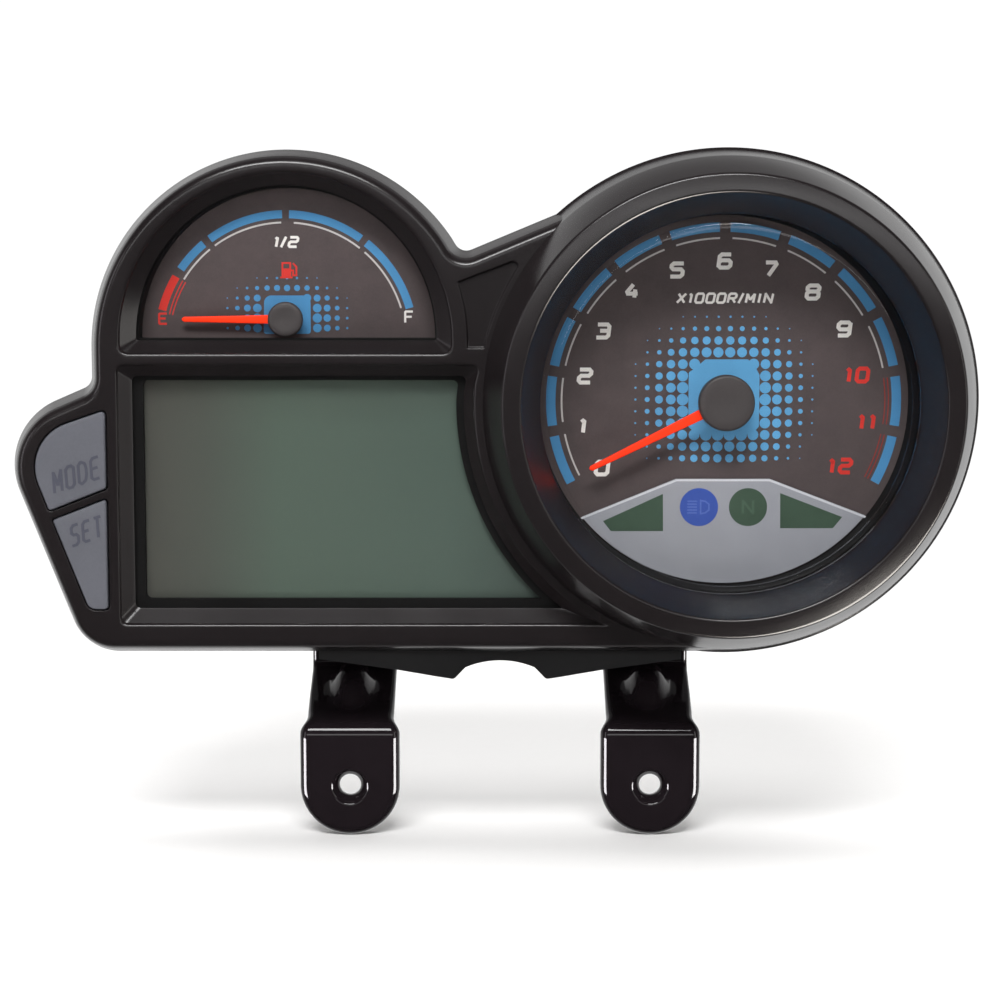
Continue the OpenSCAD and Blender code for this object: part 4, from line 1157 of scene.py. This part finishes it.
def finish_bracket(name, x0, node):
    """The tab's flat skins are filled between the rim and the hole on both sides, over the whole tab."""
    b = Build()
    HW, T = 12.25, 2.5
    Z1 = 9.0                         # the flat part of the tab ends here
    _, rings, pts, dims = None, None, None, None
    w, lip, r = HW, 5.2, 2.3
    H = half_profile(w, lip, r)[2:-2]
    # closed rim round the tab: right side down, round end, left side up (open at the top)
    n = 40
    path = [("z", Z1 - 1.5 * k) for k in range(int(Z1 / 1.5))]
    cols = []
    for z in (Z1, 7.5, 6.0, 4.5, 3.0, 1.5):
        cols.append(b.pts([(x0 + p[0], -2.0 + p[1], z) for p in H]))
    for k in range(n + 1):
        a = math.radians(-180 * k / n)
        cols.append(b.pts([(x0 + p[0] * math.cos(a), -2.0 + p[1], p[0] * math.sin(a)) for p in H]))
    for z in (1.5, 3.0, 4.5, 6.0, 7.5, Z1):
        cols.append(b.pts([(x0 - p[0], -2.0 + p[1], z) for p in H]))
    for c0, c1 in zip(cols, cols[1:]):
        for i in range(len(H) - 1):
            b.f.append((c0[i], c1[i], c1[i + 1], c0[i + 1]))
    # top edge points across the flat
    NX = 16
    fx, bx = H[0][0], H[-1][0]
    ftop = [cols[-1][0]] + b.pts([(x0 - fx + 2 * fx * k / NX, -2.0, Z1) for k in range(1, NX)]) + [cols[0][0]]
    btop = [cols[-1][-1]] + b.pts([(x0 - bx + 2 * bx * k / NX, 0.5, Z1) for k in range(1, NX)]) + [cols[0][-1]]
    # drawn hole: dish on the front, collar behind
    nh = 64
    dish = [(5.4, -2.0), (4.95, -2.03), (4.6, -1.99), (4.3, -1.85), (4.0, -1.55), (3.65, -1.1), (3.3, -0.6), (3.0, -0.2),
            (2.78, 0.2), (2.64, 0.65), (2.6, 1.1), (2.6, 1.85), (2.75, 2.0), (4.0, 2.0), (4.25, 1.85), (4.45, 1.2),
            (4.8, 0.75), (5.2, 0.55), (5.4, 0.5)]
    hr = [b.pts([(x0 + q * math.cos(2 * math.pi * k / nh), y, q * math.sin(2 * math.pi * k / nh)) for k in range(nh)])
          for q, y in dish]
    b.sweep(hr)
    fo = [c[0] for c in cols] + list(ftop[1:-1])
    bo = [c[-1] for c in cols] + list(btop[1:-1])
    b.fill(fo, [hr[0]])
    b.fill(bo, [hr[-1]])
    # ---- strip from the top of the flat, through both bends, to the top of the riser
    mid = path_with_bends([(-2.0, Z1), (-2.0, 14.9), (21.5, 26.3), (21.5, 68.0)], [0, 5.0, 2.0, 0], 12)
    P = densify_open(mid, 1.2)
    dist = [0.0]
    for a, c in zip(P, P[1:]):
        dist.append(dist[-1] + math.hypot(c[0] - a[0], c[1] - a[1]))
    total = dist[-1]
    prev = None
    NM = NX
    for i, q in enumerate(P):
        a, c = P[max(0, i - 1)], P[min(len(P) - 1, i + 1)]
        t = (0.0, 1.0) if i in (0, len(P) - 1) else unit((c[0] - a[0], c[1] - a[1]))
        nr = (t[1], -t[0])
        s = dist[i]
        w = HW + (10.7 - HW) * smooth((s - 5.0) / 6.5)
        lp = 5.2 + (2.6 - 5.2) * smooth((s - 0.5) / 8.0)
        rr = 2.3 + (1.1 - 2.3) * smooth((s - 6.0) / 16.0)
        top = total - s
        if top < 4.0:
            w -= 4.0 - math.sqrt(max(0.0, 16.0 - (4.0 - top) ** 2))
        S = half_profile(w, lp, rr)[2:-2]
        loop = [(S[k][0], S[k][1]) for k in range(len(S))]
        fxx, bxx = S[0][0], S[-1][0]
        right = loop
        backs = [(bxx - 2 * bxx * k / NM, T) for k in range(1, NM)]
        left = [(-p[0], p[1]) for p in reversed(S)]
        fronts = [(-fxx + 2 * fxx * k / NM, 0.0) for k in range(1, NM)]
        full = right + backs + left + fronts
        Q = []
        for px, pd in full:
            u, v = (s - 22.5) / 10.5, px / 6.2
            g = 1 - u * u - v * v
            g = 4.6 * (g * g * (3 - 2 * g)) if g > 0 else 0.0
            dd = pd - g
            Q.append((x0 + px, q[0] + nr[0] * dd, q[1] + nr[1] * dd))
        ring = b.pts(Q)
        if prev:
            b.band(prev, ring)
        prev = ring
    b.cap(prev)
    ob = make(name, b, "housing", M["paint"], sharp=50)
    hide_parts(node)
    return ob


tab_l = finish_bracket("bracket_left_pressed", -37.0, "bracket_left")
tab_r = finish_bracket("bracket_right_pressed", 37.0, "bracket_right")


# ------------------------------------------------------------------ camera, lights, floor
cam = bpy.data.cameras.new("camera")
cam.lens = 82.73
cam.sensor_width = 36.0
cam.clip_start = 0.01
co = bpy.data.objects.new("camera", cam)
co.location = (0.0, -0.55704, 0.12933)
co.rotation_euler = (math.radians(84.0), 0.0, 0.0)
bpy.context.scene.collection.objects.link(co)
bpy.context.scene.camera = co

floor_mat = material("studio_floor", (252, 251, 250), rough=0.8, grain=1.5, bump=0.03, vary=0.01, blotch=200, spec=0.1)
fn, fl = floor_mat.node_tree.nodes, floor_mat.node_tree.links
f_out = fn["Material Output"]
f_old = f_out.inputs["Surface"].links[0].from_socket
f_tc = fn.new("ShaderNodeTexCoord")
f_mp = fn.new("ShaderNodeVectorMath")
f_mp.operation = "DISTANCE"
f_mp.inputs[1].default_value = (0.0, 0.06, -0.01232)
fl.new(f_tc.outputs["Object"], f_mp.inputs[0])
f_mr = fn.new("ShaderNodeMapRange")
f_mr.interpolation_type = "SMOOTHSTEP"
f_mr.inputs["From Min"].default_value = 0.22
f_mr.inputs["From Max"].default_value = 0.45
fl.new(f_mp.outputs["Value"], f_mr.inputs["Value"])
f_lp = fn.new("ShaderNodeLightPath")
f_mx = fn.new("ShaderNodeMath")
f_mx.operation = "MAXIMUM"
f_cam = fn.new("ShaderNodeMath")
f_cam.operation = "MULTIPLY"
fl.new(f_mr.outputs["Result"], f_cam.inputs[0])
fl.new(f_lp.outputs["Is Camera Ray"], f_cam.inputs[1])
fl.new(f_cam.outputs[0], f_mx.inputs[0])
fl.new(f_lp.outputs["Is Glossy Ray"], f_mx.inputs[1])
f_tr = fn.new("ShaderNodeBsdfTransparent")
f_mix = fn.new("ShaderNodeMixShader")
fl.new(f_mx.outputs[0], f_mix.inputs["Fac"])
fl.new(f_old, f_mix.inputs[1])
fl.new(f_tr.outputs["BSDF"], f_mix.inputs[2])
fl.new(f_mix.outputs["Shader"], f_out.inputs["Surface"])
me = bpy.data.meshes.new("studio_floor")
zf = -0.01232
fv = [(0.0, 0.06, zf)] + [(0.46 * math.cos(math.radians(k * 4)), 0.06 + 0.46 * math.sin(math.radians(k * 4)), zf) for k in range(90)]
me.from_pydata(fv, [], [(0, 1 + k, 1 + (k + 1) % 90) for k in range(90)])
me.materials.append(floor_mat)
floor = bpy.data.objects.new("studio_floor", me)
bpy.context.scene.collection.objects.link(floor)


def softbox(name, loc, target, size, power, color=(1, 1, 1), shape="RECTANGLE"):
    L = bpy.data.lights.new(name, "AREA")
    L.shape = shape
    L.size, L.size_y = size
    L.energy = power
    L.color = color
    o = bpy.data.objects.new(name, L)
    o.location = loc
    d = Vector(target) - Vector(loc)
    o.rotation_euler = d.to_track_quat("-Z", "Y").to_euler()
    o.visible_camera = False
    bpy.context.scene.collection.objects.link(o)
    return o


C = (0.0, 0.0, 0.07)
over = softbox("top", (0.0, 0.10, 0.95), C, (1.4, 0.8), 9.0)
over.visible_glossy = False
softbox("front_high", (-0.10, -0.95, 1.05), C, (0.8, 0.3), 16.8)
softbox("front_band", (0.0, -1.30, 0.42), C, (1.7, 0.17), 3.4)
softbox("left", (-0.80, -0.52, 0.14), C, (0.22, 0.6), 1.1, (1.0, 0.96, 1.0))
softbox("right", (0.80, -0.50, 0.16), C, (0.22, 0.6), 1.1, (1.0, 0.98, 0.94))


def only(light, receivers):
    """a reflector card that lights only the pieces named"""
    c = bpy.data.collections.new(light.name + "_receivers")
    for o in receivers:
        c.objects.link(o)
    light.light_linking.receiver_collection = c


tabs = [tab_l, tab_r]
only(softbox("left_low", (-0.78, -0.48, -0.22), (0, 0, 0.0), (0.52, 0.28), 17.0, (1.0, 0.96, 1.0)), tabs)
only(softbox("right_low", (0.78, -0.48, -0.22), (0, 0, 0.0), (0.52, 0.28), 17.0, (1.0, 0.97, 0.98)), tabs)
only(softbox("barrel_low", (0.46, -0.42, -0.50), C, (0.66, 0.62), 28.0, (1.0, 0.95, 0.88)), [bar])
w = bpy.context.scene.world or bpy.data.worlds.new("world")
bpy.context.scene.world = w
w.use_nodes = True
wn, wl = w.node_tree.nodes, w.node_tree.links
bg = wn.get("Background")
bg.inputs["Color"].default_value = (1.0, 1.0, 1.0, 1)
wt = wn.new("ShaderNodeTexCoord")
ws = wn.new("ShaderNodeSeparateXYZ")
wl.new(wt.outputs["Generated"], ws.inputs[0])
w1 = wn.new("ShaderNodeMapRange")          # brighter behind the object
w1.interpolation_type = "SMOOTHSTEP"
w1.inputs["From Min"].default_value = -0.25
w1.inputs["From Max"].default_value = 0.55
w1.inputs["To Min"].default_value = 0.05
w1.inputs["To Max"].default_value = 0.95
wl.new(ws.outputs["Y"], w1.inputs["Value"])
w2 = wn.new("ShaderNodeMapRange")          # and near the horizon
w2.interpolation_type = "SMOOTHSTEP"
w2.inputs["From Min"].default_value = 0.36
w2.inputs["From Max"].default_value = 0.60
w2.inputs["To Min"].default_value = 1.0
w2.inputs["To Max"].default_value = 0.22
wl.new(ws.outputs["Z"], w2.inputs["Value"])
wa = wn.new("ShaderNodeMath")
wa.operation = "MULTIPLY"
wl.new(w1.outputs["Result"], wa.inputs[0])
wl.new(w2.outputs["Result"], wa.inputs[1])
wp_ = wn.new("ShaderNodeLightPath")
wm = wn.new("ShaderNodeMix")
wm.data_type = "FLOAT"
wm.inputs["B"].default_value = 1.05
wl.new(wp_.outputs["Is Camera Ray"], wm.inputs["Factor"])
wl.new(wa.outputs[0], wm.inputs["A"])
wl.new(wm.outputs["Result"], bg.inputs["Strength"])
bpy.context.scene.view_settings.view_transform = "Standard"
bpy.context.scene.view_settings.look = "None"
